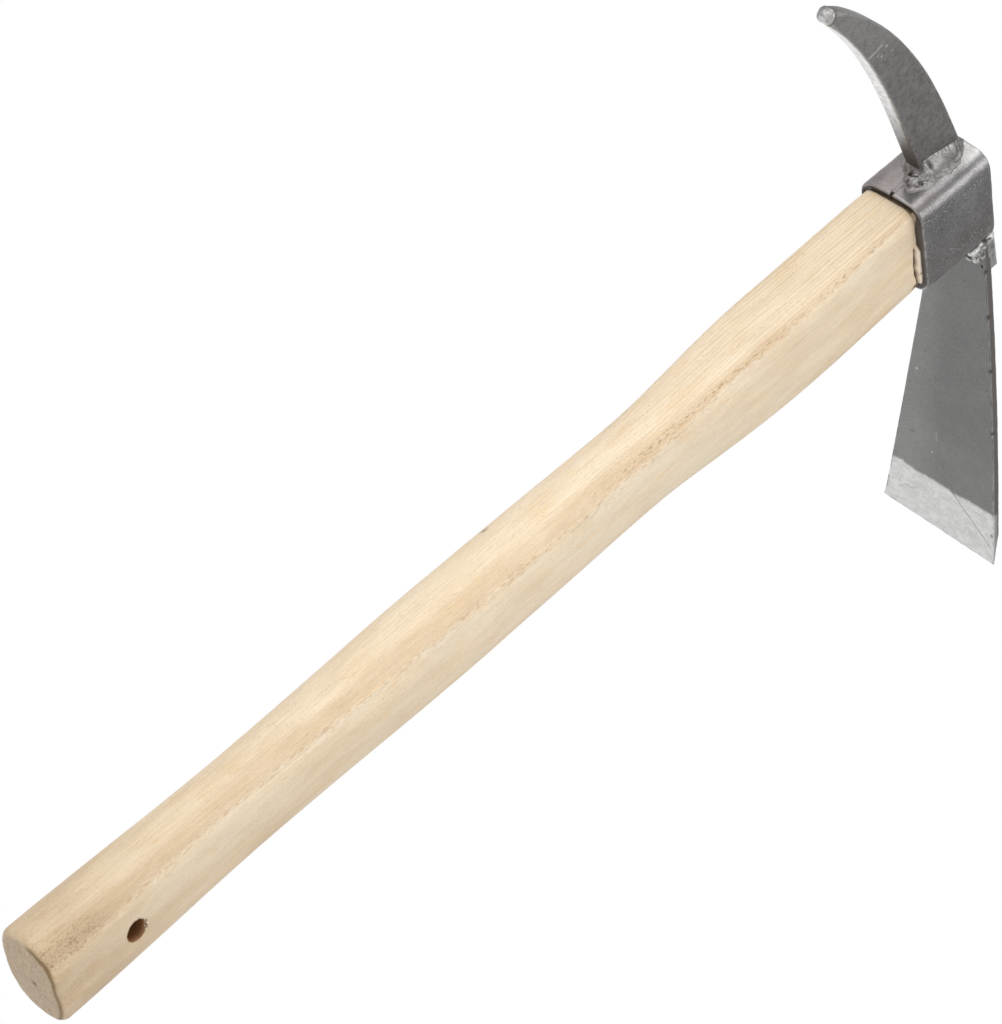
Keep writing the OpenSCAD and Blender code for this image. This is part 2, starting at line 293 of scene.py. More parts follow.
class Surface(Graph):
    """A material for the object, patterned by the place on it in millimetres."""

    def __init__(self, name):
        super().__init__(bpy.data.materials.new(name))
        spot = self.node("ShaderNodeTexCoord", {}, "Object")
        self.position = self.vector("MULTIPLY", spot, (1 / MM,) * 3)

    def scaled(self, size):
        """The place on the object in steps of a size."""
        size = (size,) * 3 if isinstance(size, (int, float)) else size
        return self.vector("DIVIDE", self.position, size)

    def noise(self, size, detail=3.0, roughness=0.55, distortion=0.0):
        """Noise with its feature size in millimetres, one number or one per axis."""
        return self.node("ShaderNodeTexNoise", {"Vector": self.scaled(size), "Scale": 1.0, "Detail": detail,
                                                "Roughness": roughness, "Distortion": distortion}, "Fac")

    def cells(self, size):
        """Distance from the middles of cells of a size in millimetres."""
        return self.node("ShaderNodeTexVoronoi", {"Vector": self.scaled(size), "Scale": 1.0}, "Distance")

    def mix(self, share, a, b, blend="MIX"):
        """From colour a to colour b by a share from 0 to 1."""
        a = (*a, 1.0) if isinstance(a, tuple) and len(a) == 3 else a
        b = (*b, 1.0) if isinstance(b, tuple) and len(b) == 3 else b
        return self.node("ShaderNodeMix", {0: share, 6: a, 7: b}, 2, data_type="RGBA", blend_type=blend)

    def ramp(self, value, *stops):
        """Grey along a value, from (place, level) stops."""
        made = self.tree.nodes.new("ShaderNodeValToRGB")
        self.tree.links.new(value, made.inputs[0])
        while len(made.color_ramp.elements) < len(stops):
            made.color_ramp.elements.new(0.5)
        for element, (place, level) in zip(made.color_ramp.elements, stops):
            element.position = place
            element.color = (level, level, level, 1.0)
        return made.outputs[0]

    def mask(self, name):
        """A value stored on the mesh's points, or 0 where a mesh has none of that name."""
        return self.node("ShaderNodeAttribute", {}, "Fac", attribute_name=name)

    def stroke(self, start, end, width):
        """One along a straight scratch on the surface, zero away from it."""
        axis = Vector(end) - Vector(start)
        wobble = self.times(self.noise(2.0, 2), 0.5)
        offset = self.vector("SUBTRACT", self.position, tuple(start))
        reach = self.vector("DOT_PRODUCT", offset, tuple(axis))
        along = self.maths("DIVIDE", reach, axis.length_squared, clamp=True)
        foot = self.node("ShaderNodeVectorMath", {0: tuple(axis), 3: along}, operation="SCALE")
        gap = self.plus(self.vector("DISTANCE", offset, foot), self.maths("SUBTRACT", wobble, 0.25))
        return self.remap(gap, 0.3 * width, width, 1.0, 0.0)

    def facing(self, direction):
        """How far the surface faces a direction, from -1 to 1."""
        normal = self.node("ShaderNodeNewGeometry", {}, "Normal")
        return self.vector("DOT_PRODUCT", normal, direction)

    def bump(self, height, distance, strength):
        """A normal tilted by a height, its distance in millimetres."""
        inputs = {"Height": height, "Distance": distance * MM, "Strength": strength}
        return self.node("ShaderNodeBump", inputs)

    def finish(self, colour, roughness, normal, **extra):
        """The finished material. Extra inputs are named with underscores for spaces."""
        inputs = {"Base Color": colour, "Roughness": roughness, "Normal": normal}
        inputs.update({key.replace("_", " "): value for key, value in extra.items()})
        return self.end("ShaderNodeOutputMaterial", self.node("ShaderNodeBsdfPrincipled", inputs))


def ash_wood():
    """Pale ash: growth lines and pores on the top and bottom, softer figure on the sides, grimy end grain."""
    g = Surface("ash_wood")
    along = g.mask("along")
    turn = g.mask("turn")
    broad = g.noise((90, 7, 7), 3)
    blotch = g.noise((24, 6, 6), 4, 0.6)
    streaks = g.noise((60, 1.6, 1.6), 4, 0.6)
    fibres = g.noise((14, 0.35, 0.35), 3, 0.7)
    clean = g.plus(g.remap(along, 0.0, 0.17, 0.0, 0.62), g.remap(along, 0.1, 0.6, 0.0, 0.38))
    pale = g.mix(clean, (0.62, 0.48, 0.32), (0.85, 0.71, 0.525))
    tan = g.mix(clean, (0.455, 0.325, 0.20), (0.69, 0.52, 0.34))
    # Painted sheen and shade by which way the surface faces: pale on top, a tan band, pale again on the side,
    # and tan where it turns under.
    swayed = g.plus(turn, g.times(g.maths("SUBTRACT", broad, 0.5), 0.06))
    sheen_bands = g.ramp(swayed, (0.00, 0.14), (0.06, 0.12), (0.17, 0.66), (0.30, 0.84), (0.36, 0.16),
                   (0.50, 0.32), (0.62, 0.60))
    tone = g.plus(sheen_bands, g.times(g.maths("SUBTRACT", blotch, 0.5), 1.5), clamp=True)
    colour = g.mix(tone, pale, tan)
    upright = g.maths("ABSOLUTE", g.facing((0, 0, 1)))
    smooth_side = g.remap(upright, 0.25, 0.7, 1.0, 0.0)
    # Painted sheen: patches of cream on the sides, where the surface is not facing up or down.
    side_sheen = g.times(g.remap(g.noise((42, 9, 9), 2), 0.47, 0.60), smooth_side)
    sheen_cream = g.mix(clean, (0.62, 0.50, 0.36), (0.78, 0.695, 0.54))
    colour = g.mix(g.times(side_sheen, 0.45), colour, sheen_cream)
    golden = g.remap(g.noise((17, 4.5, 4.5), 4, 0.65, 0.6), 0.54, 0.68, 0.0, 0.42)
    colour = g.mix(golden, colour, g.mix(clean, (0.50, 0.335, 0.17), (0.80, 0.585, 0.33)))
    # Growth layers lie across the width, so they show as fine lines above and as loose figure on the sides.
    across = g.node("ShaderNodeSeparateXYZ", {0: g.position}, 1)
    layer = g.plus(across, g.times(broad, 5.0))
    phase = g.maths("FRACT", g.maths("DIVIDE", layer, 1.45))
    line = g.plus(g.remap(phase, 0.0, 0.3, 1.0, 0.0), g.remap(phase, 0.8, 1.0, 0.0, 1.0))
    flat = g.remap(upright, 0.35, 0.9, 0.28, 1.0)
    lines = g.times(g.times(line, flat), g.remap(streaks, 0.35, 0.62, 0.2, 0.8))
    lines = g.times(lines, g.remap(along, 0.55, 0.92, 0.38, 1.15), clamp=True)
    colour = g.mix(lines, colour, g.mix(clean, (0.42, 0.30, 0.18), (0.68, 0.50, 0.31)))
    nap = g.remap(g.noise((0.9, 0.4, 0.4), 2, 0.7), 0.3, 0.7, 0.94, 1.04)
    fibre_tone = g.times(g.remap(fibres, 0.35, 0.7, 0.93, 1.03), nap)
    grey = g.node("ShaderNodeCombineColor", {0: fibre_tone, 1: fibre_tone, 2: fibre_tone})
    colour = g.mix(1.0, colour, grey, "MULTIPLY")
    pore = g.cells((4.2, 0.55, 0.55))
    pore_share = g.times(g.remap(pore, 0.12, 0.26, 1.0, 0.0), g.remap(g.noise((12, 2, 2), 2), 0.45, 0.6))
    pores = g.times(pore_share, g.times(flat, 0.5))
    colour = g.mix(pores, colour, (0.40, 0.26, 0.14))
    fleck = g.cells((2.6, 0.9, 0.9))
    flecks = g.times(g.remap(fleck, 0.08, 0.18, 1.0, 0.0), g.remap(g.noise((22, 6, 6), 2), 0.54, 0.64))
    colour = g.mix(g.times(flecks, 0.6), colour, (0.34, 0.20, 0.10))
    # The corners carry a line of small dark specks where the shaving tore the grain.
    torn = g.times(g.mask("ridge"), g.remap(g.noise((2.4, 0.6, 0.6), 3), 0.52, 0.60))
    colour = g.mix(g.times(torn, 0.8), colour, (0.34, 0.20, 0.095))
    # Grime gathers in the grain near the butt.
    smudges = g.remap(g.noise((0.9, 0.7, 0.7), 3), 0.51, 0.61)
    grubby = g.times(g.remap(along, 0.015, 0.085, 1.0, 0.0), smudges)
    grubby = g.times(grubby, g.remap(g.noise((14, 7, 7), 3), 0.34, 0.50, 0.25, 1.0))
    off_ridge = g.maths("ABSOLUTE", g.maths("SUBTRACT", turn, 0.24))
    grubby = g.times(grubby, g.remap(off_ridge, 0.05, 0.16, 1.0, 0.22))
    colour = g.mix(g.times(grubby, 0.8), colour, (0.27, 0.165, 0.085))
    # The end grain.
    rings = g.noise((30, 1.2, 2.4), 4, 0.65)
    specks = g.remap(g.noise(0.45, 3), 0.5, 0.66)
    end_colour = g.mix(g.remap(rings, 0.35, 0.65), (0.36, 0.26, 0.16), (0.46, 0.345, 0.22))
    end_colour = g.mix(g.times(specks, 0.62), end_colour, (0.22, 0.14, 0.075))
    bright_specks = g.remap(g.noise(0.6, 2), 0.54, 0.66, 0.0, 0.6)
    end_colour = g.mix(bright_specks, end_colour, (0.62, 0.50, 0.35))
    colour = g.mix(g.times(g.mask("end"), 0.92), colour, end_colour)
    colour = g.mix(g.times(g.mask("rim"), 0.9), colour, (0.20, 0.115, 0.042))
    colour = g.mix(g.times(g.mask("chip"), 0.6), colour, (0.90, 0.80, 0.68))
    # Painted shade darkens the crack, the gap under the sliver and the line where the wood meets the steel;
    # the nick and the end-grain pit are darkened with it.
    colour = g.mix(g.mask("crack_and_shade"), colour, (0.075, 0.035, 0.014))
    # The hanging hole: a torn rim, and a bore with painted shade, darker further in.
    off_axis = g.vector("MULTIPLY", g.vector("SUBTRACT", g.position, tuple(HOLE_AT)), (1, 0, 1))
    radius = g.vector("LENGTH", off_axis, (0, 0, 0))
    splinters = g.noise((2.2, 0.6, 0.6), 3, 0.65)
    upper_right = g.remap(g.vector("DOT_PRODUCT", off_axis, (0.85, 0, 0.5)), 0.5, 3.0, 0.15, 1.0)
    torn_rim = g.times(g.remap(radius, HOLE_R + 0.6, HOLE_R + 1.2, 1.0, 0.0), upper_right)
    torn_tone = g.mix(g.remap(splinters, 0.42, 0.58), (0.22, 0.12, 0.06), (0.84, 0.73, 0.57))
    colour = g.mix(g.times(torn_rim, 0.85), colour, torn_tone)
    inside = g.remap(radius, HOLE_R + 0.05, HOLE_R + 0.3, 1.0, 0.0)
    depth = g.remap(g.maths("ABSOLUTE", across), 10.6, 13.0)
    shaded_bore_colour = g.mix(depth, (0.22, 0.095, 0.036), (0.34, 0.18, 0.085))
    shaded_bore_colour = g.mix(g.remap(fibres, 0.5, 0.66, 0.0, 0.5), shaded_bore_colour, (0.26, 0.145, 0.07))
    colour = g.mix(inside, colour, shaded_bore_colour)
    height = g.plus(g.times(fibres, 0.5), g.times(pore_share, -0.5))
    height = g.plus(height, g.times(g.times(line, flat), -0.5))
    normal = g.bump(height, 0.05, 0.6)
    roughness = g.remap(streaks, 0.3, 0.7, 0.40, 0.54)
    return g.finish(colour, roughness, normal, Metallic=0.0, Specular_IOR_Level=0.32)


def worn_steel(name, dark, light, grain=0.4, sparkle=0.3, pits=0.5, rough=(0.36, 0.48),
               grime_and_shade=(0.045, 0.034, 0.026), bump=0.02, polish_and_highlight=(0.60, 0.595, 0.59), strokes=()):
    """Hot-rolled steel: fine speckle, glints, small pits, with brighter polish, painted highlights and edge
    wear, and grime and painted shade, where a mask asks.
    """
    g = Surface(name)
    patches = g.noise(9, 4, 0.6)
    grains = g.noise(grain, 3, 0.7)
    tone = g.plus(g.times(patches, 0.25), g.times(grains, 0.75))
    colour = g.mix(g.remap(tone, 0.36, 0.64), dark, light)
    tint = g.mix(g.remap(g.noise(3.0, 3), 0.4, 0.6), (0.34, 0.295, 0.285), (0.37, 0.345, 0.34))
    colour = g.mix(g.times(g.mask("bluing"), g.remap(grains, 0.35, 0.65, 0.75, 0.95)), colour, tint)
    # The shine mask lightens the colour: polish on some pieces, painted highlights on others.
    shine_mottle = g.remap(g.noise((4.5, 4.5, 3.0), 5, 0.75, 0.8), 0.36, 0.66)
    bright = g.mix(shine_mottle, tuple(0.88 * v for v in polish_and_highlight), tuple(1.08 * v for v in polish_and_highlight))
    colour = g.mix(g.times(g.mask("shine"), g.remap(grains, 0.3, 0.7, 0.85, 1.0)), colour, bright)
    # Lighter edges: edge wear, and painted highlights where edges catch the light.
    edge_wear_and_highlight = g.times(g.mask("edge"), g.remap(g.noise(2.5, 3), 0.35, 0.6, 0.3, 1.0))
    colour = g.mix(g.times(edge_wear_and_highlight, 0.75), colour, (0.55, 0.545, 0.54))
    glint = g.remap(g.cells(0.9), 0.13, 0.26, 1.0, 0.0)
    gate = g.plus(g.remap(g.noise(5.0, 3), 0.48, 0.66, 0.0, sparkle), g.mask("glint"))
    glints = g.times(glint, gate, clamp=True)
    colour = g.mix(glints, colour, (0.88, 0.88, 0.88))
    # The grime mask darkens the colour: real grime, and painted shade where a piece asks for it.
    dirt_and_shade = g.mask("grime_and_shade")
    colour = g.mix(dirt_and_shade, colour, g.mix(g.noise(1.5, 3), grime_and_shade, tuple(2.0 * v for v in grime_and_shade)))
    pit = g.remap(g.cells(2.4), 0.05, 0.16, 1.0, 0.0)
    pit_share = g.times(pit, g.remap(g.noise(7.0, 2), 0.5, 0.62))
    colour = g.mix(g.times(pit_share, pits), colour, (0.05, 0.047, 0.045))
    for start, end, width, share, tone_there in strokes:
        scratch = g.times(g.stroke(start, end, width), share)
        colour = g.mix(scratch, colour, tone_there)
    height = g.maths("SUBTRACT", g.plus(grains, g.times(glints, 2.0)), pit_share)
    normal = g.bump(height, bump, 0.7)
    roughness = g.remap(tone, 0.35, 0.65, rough[1], rough[0])
    roughness = g.plus(roughness, g.times(dirt_and_shade, 0.25), clamp=True)
    metallic = g.remap(dirt_and_shade, 0.0, 1.0, 1.0, 0.35)
    return g.finish(colour, roughness, normal, Metallic=metallic)


# ---------------------------------------------------------------- handle

def section_at(s):
    """Width, height, squareness and middle of the handle at distances from the butt."""
    share = np.clip(s / HANDLE_LEN, 0, 1)
    i = np.clip(np.searchsorted(STATIONS[:, 0], share, side="right") - 1, 0, len(STATIONS) - 2)
    a, b = STATIONS[i], STATIONS[i + 1]
    k = ease((share - a[0]) / (b[0] - a[0]))
    return a[1:] + (b[1:] - a[1:]) * k


def handle_ring(s, inset, count):
    """Points round the handle at distance s from the butt, from the top towards the right side."""
    w, h, square, z, y = section_at(s)
    angle = np.linspace(0, 2 * math.pi, 1441)[:-1]
    sine, cosine = np.sin(angle), np.cos(angle)
    loop_y = y - (w / 2 - inset) * np.sign(sine) * np.abs(sine) ** (2 / square)
    loop_z = z + (h / 2 - inset) * np.sign(cosine) * np.abs(cosine) ** (2 / square)
    even = resample(np.stack([loop_y, loop_z], -1), count)
    return np.column_stack([np.full(count, BUTT_X + s), even])


def rounded_loop(half_w, half_h, radius, count):
    """A rounded rectangle in Y and Z, from the top middle towards the right side."""
    quarter = np.linspace(0, math.pi / 2, 24)
    loop = [[0, half_h]]
    for sy, sz, sweep in ((-1, 1, quarter), (-1, -1, quarter[::-1]), (1, -1, quarter), (1, 1, quarter[::-1])):
        for a in sweep:
            y = half_w - radius + radius * math.sin(a)
            z = half_h - radius + radius * math.cos(a)
            loop.append([sy * y, sz * z])
    return resample(np.array(loop), count)


def build_handle():
    """The ash handle: domed butt, shaft, shoulder and tenon as one skin, with its marks and its hole."""
    count = 150
    butt_zone, neck_zone, mouth_zone = 48, 46, 7
    butt = handle_ring(0, BUTT_ROUND, count)
    pole = butt.mean(0)
    grid = [pole + (butt - pole) * share for share in np.linspace(0.04, 0.97, 26)]
    for angle in np.radians(np.linspace(0, 90, 10)[:-1]):
        lift = BUTT_ROUND * (1 - math.cos(angle))
        grid.append(handle_ring(lift, BUTT_ROUND * (1 - math.sin(angle)), count))
    # Rings stand closest near the socket, where the crack and the sliver are, and next closest at the butt.
    stops = np.concatenate([np.arange(BUTT_ROUND, butt_zone, 0.6),
                            np.arange(butt_zone, HANDLE_LEN - neck_zone, 0.85),
                            np.arange(HANDLE_LEN - neck_zone, HANDLE_LEN - mouth_zone, 0.42),
                            np.arange(HANDLE_LEN - mouth_zone, HANDLE_LEN - 0.01, 0.2)])
    first_row = len(grid)
    for s in stops:
        grid.append(handle_ring(s, 0, count))
    last_row = len(grid)
    neck = handle_ring(HANDLE_LEN, 0.25, count)
    tenon = rounded_loop(TENON_HALF_W, TENON_HALF_H, TENON_CORNER, count)
    tenon = np.column_stack([np.full(count, SOCKET_BACK), tenon])
    grid.append(neck)
    for share in (0.35, 0.7, 1.0):
        grid.append(neck + (tenon - neck) * share)
    for x in np.linspace(SOCKET_BACK, -0.3, 14)[1:]:
        row = tenon.copy()
        row[:, 0] = x
        grid.append(row)
    end = tenon.copy()
    end[:, 0] = -0.15
    for share in (0.985, 0.9, 0.75, 0.5, 0.25, 0.05):
        grid.append(np.column_stack([end[:, 0], end[:, 1:] * share]))
    rings = np.array(grid)
    rows = len(rings)

    s = rings[..., 0] - BUTT_X
    outward = ring_normals(rings, first_row + 40)
    outer = np.zeros(rows, bool)
    outer[first_row:last_row] = True
    on_shaft = outer[:, None] * ease((HANDLE_LEN - 1 - s) / 6)

    # Which way the surface looks: 0 up, 0.5 sideways, 1 down.
    turn = np.abs(np.degrees(np.arctan2(-outward[..., 1], outward[..., 2]))) / 180
    uneven = 0.16 * noise(rings, (70, 16, 16), 3) + 0.05 * noise(rings, (18, 5, 5), 5)
    fibre = 0.035 * noise(rings, (30, 0.9, 0.9), 7) + 0.02 * noise(rings, (9, 1.1, 1.1), 8)
    lift = (uneven + fibre) * on_shaft

    side = -outward[..., 1]
    # A long soft ridge, left between two strokes of the drawknife, wanders down the right side.
    turn = turn + 0.05 * noise(rings, (90, 60, 60), 14) * (side > 0)
    ridge_share = hill(turn - 0.335, 0.03) * (side > 0)
    strokes_end = ease((s - 60) / 60) * ease((HANDLE_LEN - 30 - s) / 60)
    lift += (0.18 * ridge_share - 0.14 * hill(turn - 0.26, 0.07) * (side > 0)) * strokes_end * on_shaft
    speck = noise(rings, (2.2, 0.7, 0.7), 11) * noise(rings, (20, 3, 3), 12)
    chip = ease((speck - 0.10) / 0.10) * hill(turn - 0.345, 0.045) * (side > 0)
    chip = chip * on_shaft * ease((s - 15) / 20)
    corner = 1.2 * hill(turn - 0.25, 0.035) * ease((s - HANDLE_LEN * 0.55) / 60) * on_shaft
    ridge_mask = np.clip(0.8 * corner + 0.5 * ridge_share * on_shaft, 0, 1)
    lift += 0.16 * chip * noise(rings, (1.6, 0.8, 0.8), 13)

    # The peeled sliver on the right side of the mouth, and the crack behind it.
    x, y, z = rings[..., 0], rings[..., 1], rings[..., 2]
    crack_x = SOCKET_BACK - 1.4 - 0.8 * np.sin((z + 14) / 17 * math.pi) + 0.35 * noise(rings, 3.0, 21)
    within = ease((z + 15.9) / 1.0) * ease((3.5 - z) / 3.0) * (side > 0.8)
    crack_and_shade = np.clip(2.2 * hill(x - crack_x, 0.27 + 0.12 * noise(rings, 1.6, 23)), 0, 1) * within
    peeled = ease((x - crack_x) / 0.5) * within
    lift += 1.5 * peeled * ease((x - crack_x) / 0.7) - 0.9 * crack_and_shade
    across = hill(z + 9.2 + 0.4 * (x - crack_x), 0.35) * ease((x - crack_x) / 0.3) * within * 0.6
    lift -= 0.3 * across
    crack_and_shade = np.maximum(crack_and_shade, across)

    # A gap below the sliver, where the wood stops short of the steel, painted dark as shade.
    gap = hill(z + 16.9, 1.3) * hill(x - SOCKET_BACK + 0.4, 2.1) * (side > 0.0)
    lift -= 2.6 * gap
    crack_and_shade = np.maximum(crack_and_shade, np.clip(2.2 * gap, 0, 1))

    # Painted shade: a dark line in the wood where it meets the steel.
    bite = hill(s - HANDLE_LEN, 0.45 + 0.25 * noise(rings, 2.0, 22)) * (s > HANDLE_LEN - 3) * outer[:, None]
    crack_and_shade = np.maximum(crack_and_shade, 0.9 * bite * (1 - 0.3 * within))

    # A dark nick on the upper left edge.
    nick = hill(s - 213, 1.2) * hill(turn - 0.20, 0.03) * (side < -0.3)
    lift -= 0.4 * nick
    crack_and_shade = np.maximum(crack_and_shade, 0.8 * nick)

    end_mask = np.zeros((rows, count))
    end_mask[:first_row] = 1 - ease((np.arange(first_row)[:, None] - first_row + 10) / 6.0)
    end_mask[last_row + 1:] = 1.0
    row_gap = np.arange(rows)[:, None] - first_row + 6.5 + 1.5 * noise(rings, 6, 32)
    rim_mask = hill(row_gap, 1.5) * (0.85 + 0.5 * noise(rings, 5, 31)) * ease((pole[1] - y) / 5)
    rim_mask[first_row:] = 0

    rings = rings + outward * lift[..., None]
    # The end grain is slightly domed and pitted.
    reach = np.linalg.norm(rings[..., 1:] - pole[1:], axis=-1) / 17
    dome = np.zeros((rows, count))
    dome[:first_row] = 1
    rings[..., 0] += dome * (0.5 * np.clip(reach, 0, 1) ** 2 + 0.12 * layered(rings, 2.2, 41) - 0.25)
    pit = hill(np.hypot(rings[..., 1] - pole[1] + 1.0, rings[..., 2] - pole[2] + 2.0), 1.1) * dome
    rings[..., 0] += 0.7 * pit
    crack_and_shade = np.maximum(crack_and_shade, 0.75 * pit)
    rings[..., 0] = np.maximum(rings[..., 0], BUTT_X)

    # The left side keeps the painted sheen of the top until it turns under.
    left = outward[..., 1] > 0
    masks = {
        "along": s / HANDLE_LEN,
        "turn": np.where(left, turn * (0.35 + 0.65 * ease((turn - 0.5) / 0.5)), turn),
        "end": end_mask,
        "rim": np.clip(1.4 * rim_mask, 0, 1),
        "crack_and_shade": np.clip(crack_and_shade, 0, 1),
        "chip": np.clip(0.55 * chip + 1.5 * peeled * (1 - crack_and_shade), 0, 1),
        "ridge": ridge_mask,
    }
    return carve(closed_piece("handle_shaft", rings, masks), hole_cutter())


def hole_cutter():
    """The hanging hole, slightly ragged, with a torn lip at both sides."""
    count = 72
    half_len = 22
    surface_y = 13.4
    torn_depth = 2.2
    angle = np.linspace(0, 2 * math.pi, count + 1)[:-1]
    spoke = np.column_stack([np.cos(angle), np.zeros(count), np.sin(angle)])
    upper_right = ease((np.cos(angle) * 0.85 + np.sin(angle) * 0.5 + 0.2) / 0.8)
    rings = []
    for y in np.linspace(-half_len, half_len, 89):
        middle = np.array([HOLE_AT[0], y, HOLE_AT[2]])
        wall = middle + HOLE_R * spoke
        torn = ease((torn_depth - (surface_y - abs(y))) / torn_depth)
        r = HOLE_R - 0.1 + 0.12 * noise(wall, 3.0, 51)
        r = r + torn * (0.1 + 0.4 * upper_right + 0.4 * noise(wall, (1.2, 2.0, 1.2), 52))
        rings.append(middle + r[:, None] * spoke)
    points, faces = closed_skin(np.array(rings[::-1]))
    return mesh_piece("hole_cutter", points, faces)


# ---------------------------------------------------------------- socket

def crown(points):
    """How far the socket's top plate bulges above its edges."""
    over = ease((points[..., 2] - 14) / 3)
    return over * (0.4 - 0.55 * ease(np.abs(points[..., 1]) / 12.5))


def build_socket():
    """The folded plate round the eye, cut open along its top for the seam."""
    count = 260
    loop = rounded_loop(SOCKET_HALF_W, SOCKET_TOP, FOLD_R, count)
    for _ in range(22):
        loop = 0.5 * loop + 0.25 * (np.roll(loop, 1, 0) + np.roll(loop, -1, 0))
    tangent = np.roll(loop, -1, 0) - np.roll(loop, 1, 0)
    normal = np.stack([tangent[:, 1], -tangent[:, 0]], -1)
    normal /= np.linalg.norm(normal, axis=1, keepdims=True)
    if normal[0, 1] < 0:
        normal = -normal
    soft = 0.55
    rear_soft = 0.8
    turn = np.linspace(0, math.pi / 2, 5)
    # Once round the plate's section, as (x, depth below the outer face).
    path = [(x, 0.0) for x in np.linspace(SOCKET_BACK + rear_soft, -soft, 84)]
    path += [(-soft + soft * math.sin(a), soft - soft * math.cos(a)) for a in turn[1:]]
    path += [(0.0, d) for d in np.linspace(soft, PLATE_T - soft, 9)[1:]]
    path += [(-soft + soft * math.cos(a), PLATE_T - soft + soft * math.sin(a)) for a in turn[1:]]
    path += [(x, PLATE_T) for x in np.linspace(-soft, SOCKET_BACK + soft, 16)[1:]]
    path += [(SOCKET_BACK + soft - soft * math.sin(a), PLATE_T - soft + soft * math.cos(a))
             for a in turn[1:]]
    path += [(SOCKET_BACK, d) for d in np.linspace(PLATE_T - soft, rear_soft, 9)[1:]]
    path += [(SOCKET_BACK + rear_soft - rear_soft * math.cos(a), rear_soft - rear_soft * math.sin(a))
             for a in turn[1:-1]]
    rings = np.array([np.column_stack([np.full(count, x), loop - d * normal]) for x, d in path])
    depth = np.array([d for _, d in path])[:, None]
    x = rings[..., 0]
    outside = ease((1.2 - depth) / 1.2)
    back = ease((SOCKET_BACK + 2.0 - x) / 2.0)
    # Painted highlights along the plate's cut ends, where the edges catch the light.
    edge_highlight = hill(depth - 0.2, 0.45) * np.maximum(hill(x - SOCKET_BACK, 0.7), hill(x, 0.7))

    out = np.broadcast_to(np.concatenate([np.zeros((count, 1)), normal], 1), rings.shape)
    dents = 0.14 * noise(rings, 9, 61) + 0.06 * noise(rings, 3, 62) + 0.025 * noise(rings, 1.0, 63)
    rings = rings + out * (dents * outside)[..., None]
    rings[..., 2] += crown(rings)
    # The rear edge wanders, and laps furthest over the wood at the top left.
    rear = ease((SOCKET_BACK + 8 - x) / 8)
    top_left = ease((rings[..., 2] - 10) / 8) * ease((rings[..., 1] + 2) / 12)
    rings[..., 0] -= rear * (0.2 * top_left + 0.18 * noise(rings, 4, 64))
    upper = ease((rings[..., 2] - 12) / 4)
    rings[..., 0] += upper * 0.9 * ease((depth - 0.5) / 1.6) * (rings[..., 0] < SOCKET_BACK + 1.5)

    y, z = rings[..., 1], rings[..., 2]
    lip = 0.15 + 0.35 * ease((z - 14) / 4)
    rear_face = back * ease((depth - lip) / 0.5) * (x < SOCKET_BACK + 0.6)
    bluing = outside * ease((z - 15) / 4) * ease((-x - 12) / 12) * ease((y + 10) / 9)
    bluing = np.maximum(bluing, 0.95 * rear_face * ease((z - 15) / 3) * ease((y + 8) / 6))
    bluing = np.maximum(bluing, 0.55 * outside * ease((z - 17) / 3) * ease((-x - 20) / 10))
    grime_and_shade = np.clip(np.maximum(rear_face, ease((depth - 1.5) / 1.5)), 0, 1)
    edge_highlight = edge_highlight * np.where(x < SOCKET_BACK + 3, 1.1 - ease((z - 13) / 4), 0.6)
    # The low lip at the mouth gets a painted highlight, and its grime is lifted.
    low_lip = ease((-z - 14.5) / 3) * (x < SOCKET_BACK + 3)
    edge_highlight = np.maximum(edge_highlight, low_lip * hill(depth - 0.2, 0.8))
    # A band of glints slants down the right side, with a weaker one above it.
    band = hill(z + 7.9 + 0.30 * (x + 21.4) + 1.8 * noise(rings, 5, 65), 1.9)
    band = band * ease((x + 25) / 4) * (y < -10)
    band = np.maximum(band, 0.45 * hill(z - 13.3 + 1.5 * noise(rings, 4, 66), 1.4) * (y < -8))
    shade = 0.30 * ease((4 - z) / 14) * ease((-y - 10) / 3) * outside
    # Painted highlights: the front of the top, two patches behind the weld, and the folds.
    bright = 0.46 * ease((x + 14) / 14) * ease((z - 18) / 2)
    bright += 0.26 * hill(y + 5.2, 2.8) * ease((-x - 17) / 7) * ease((z - 17.5) / 2)
    bright += 0.13 * ease((np.abs(y) - 7) / 3) * ease((z - 14) / 3) * ease((x + 30) / 8)
    bright += 0.20 * hill(y + 6.2, 3.0) * ease((-x - 28) / 5) * ease((z - 16.5) / 2)
    bright = bright * outside + 0.5 * low_lip * hill(depth - 0.3, 0.5)
    # Grime on the rear face and inside, less on the top, plus painted shade low on the right wall.
    grime_and_shade = 0.86 * grime_and_shade * (1 - 0.72 * ease((z - 15) / 3)) + shade
    masks = {
        "bluing": bluing,
        "grime_and_shade": grime_and_shade * (1 - 0.85 * low_lip * (depth < 0.9)),
        "edge": np.clip(edge_highlight, 0, 1),
        "glint": 2.0 * band * outside,
        "shine": bright,
    }
    faces = grid_faces(len(rings), count, wrap_rows=True)
    socket = mesh_piece("socket_sleeve", rings.reshape(-1, 3), faces, masks)
    seam_low, seam_high = box_mm("seam_weld")
    return carve(socket, block("seam_cutter", (SOCKET_BACK - 5, seam_low[1], 14), (5, seam_high[1], 30)))


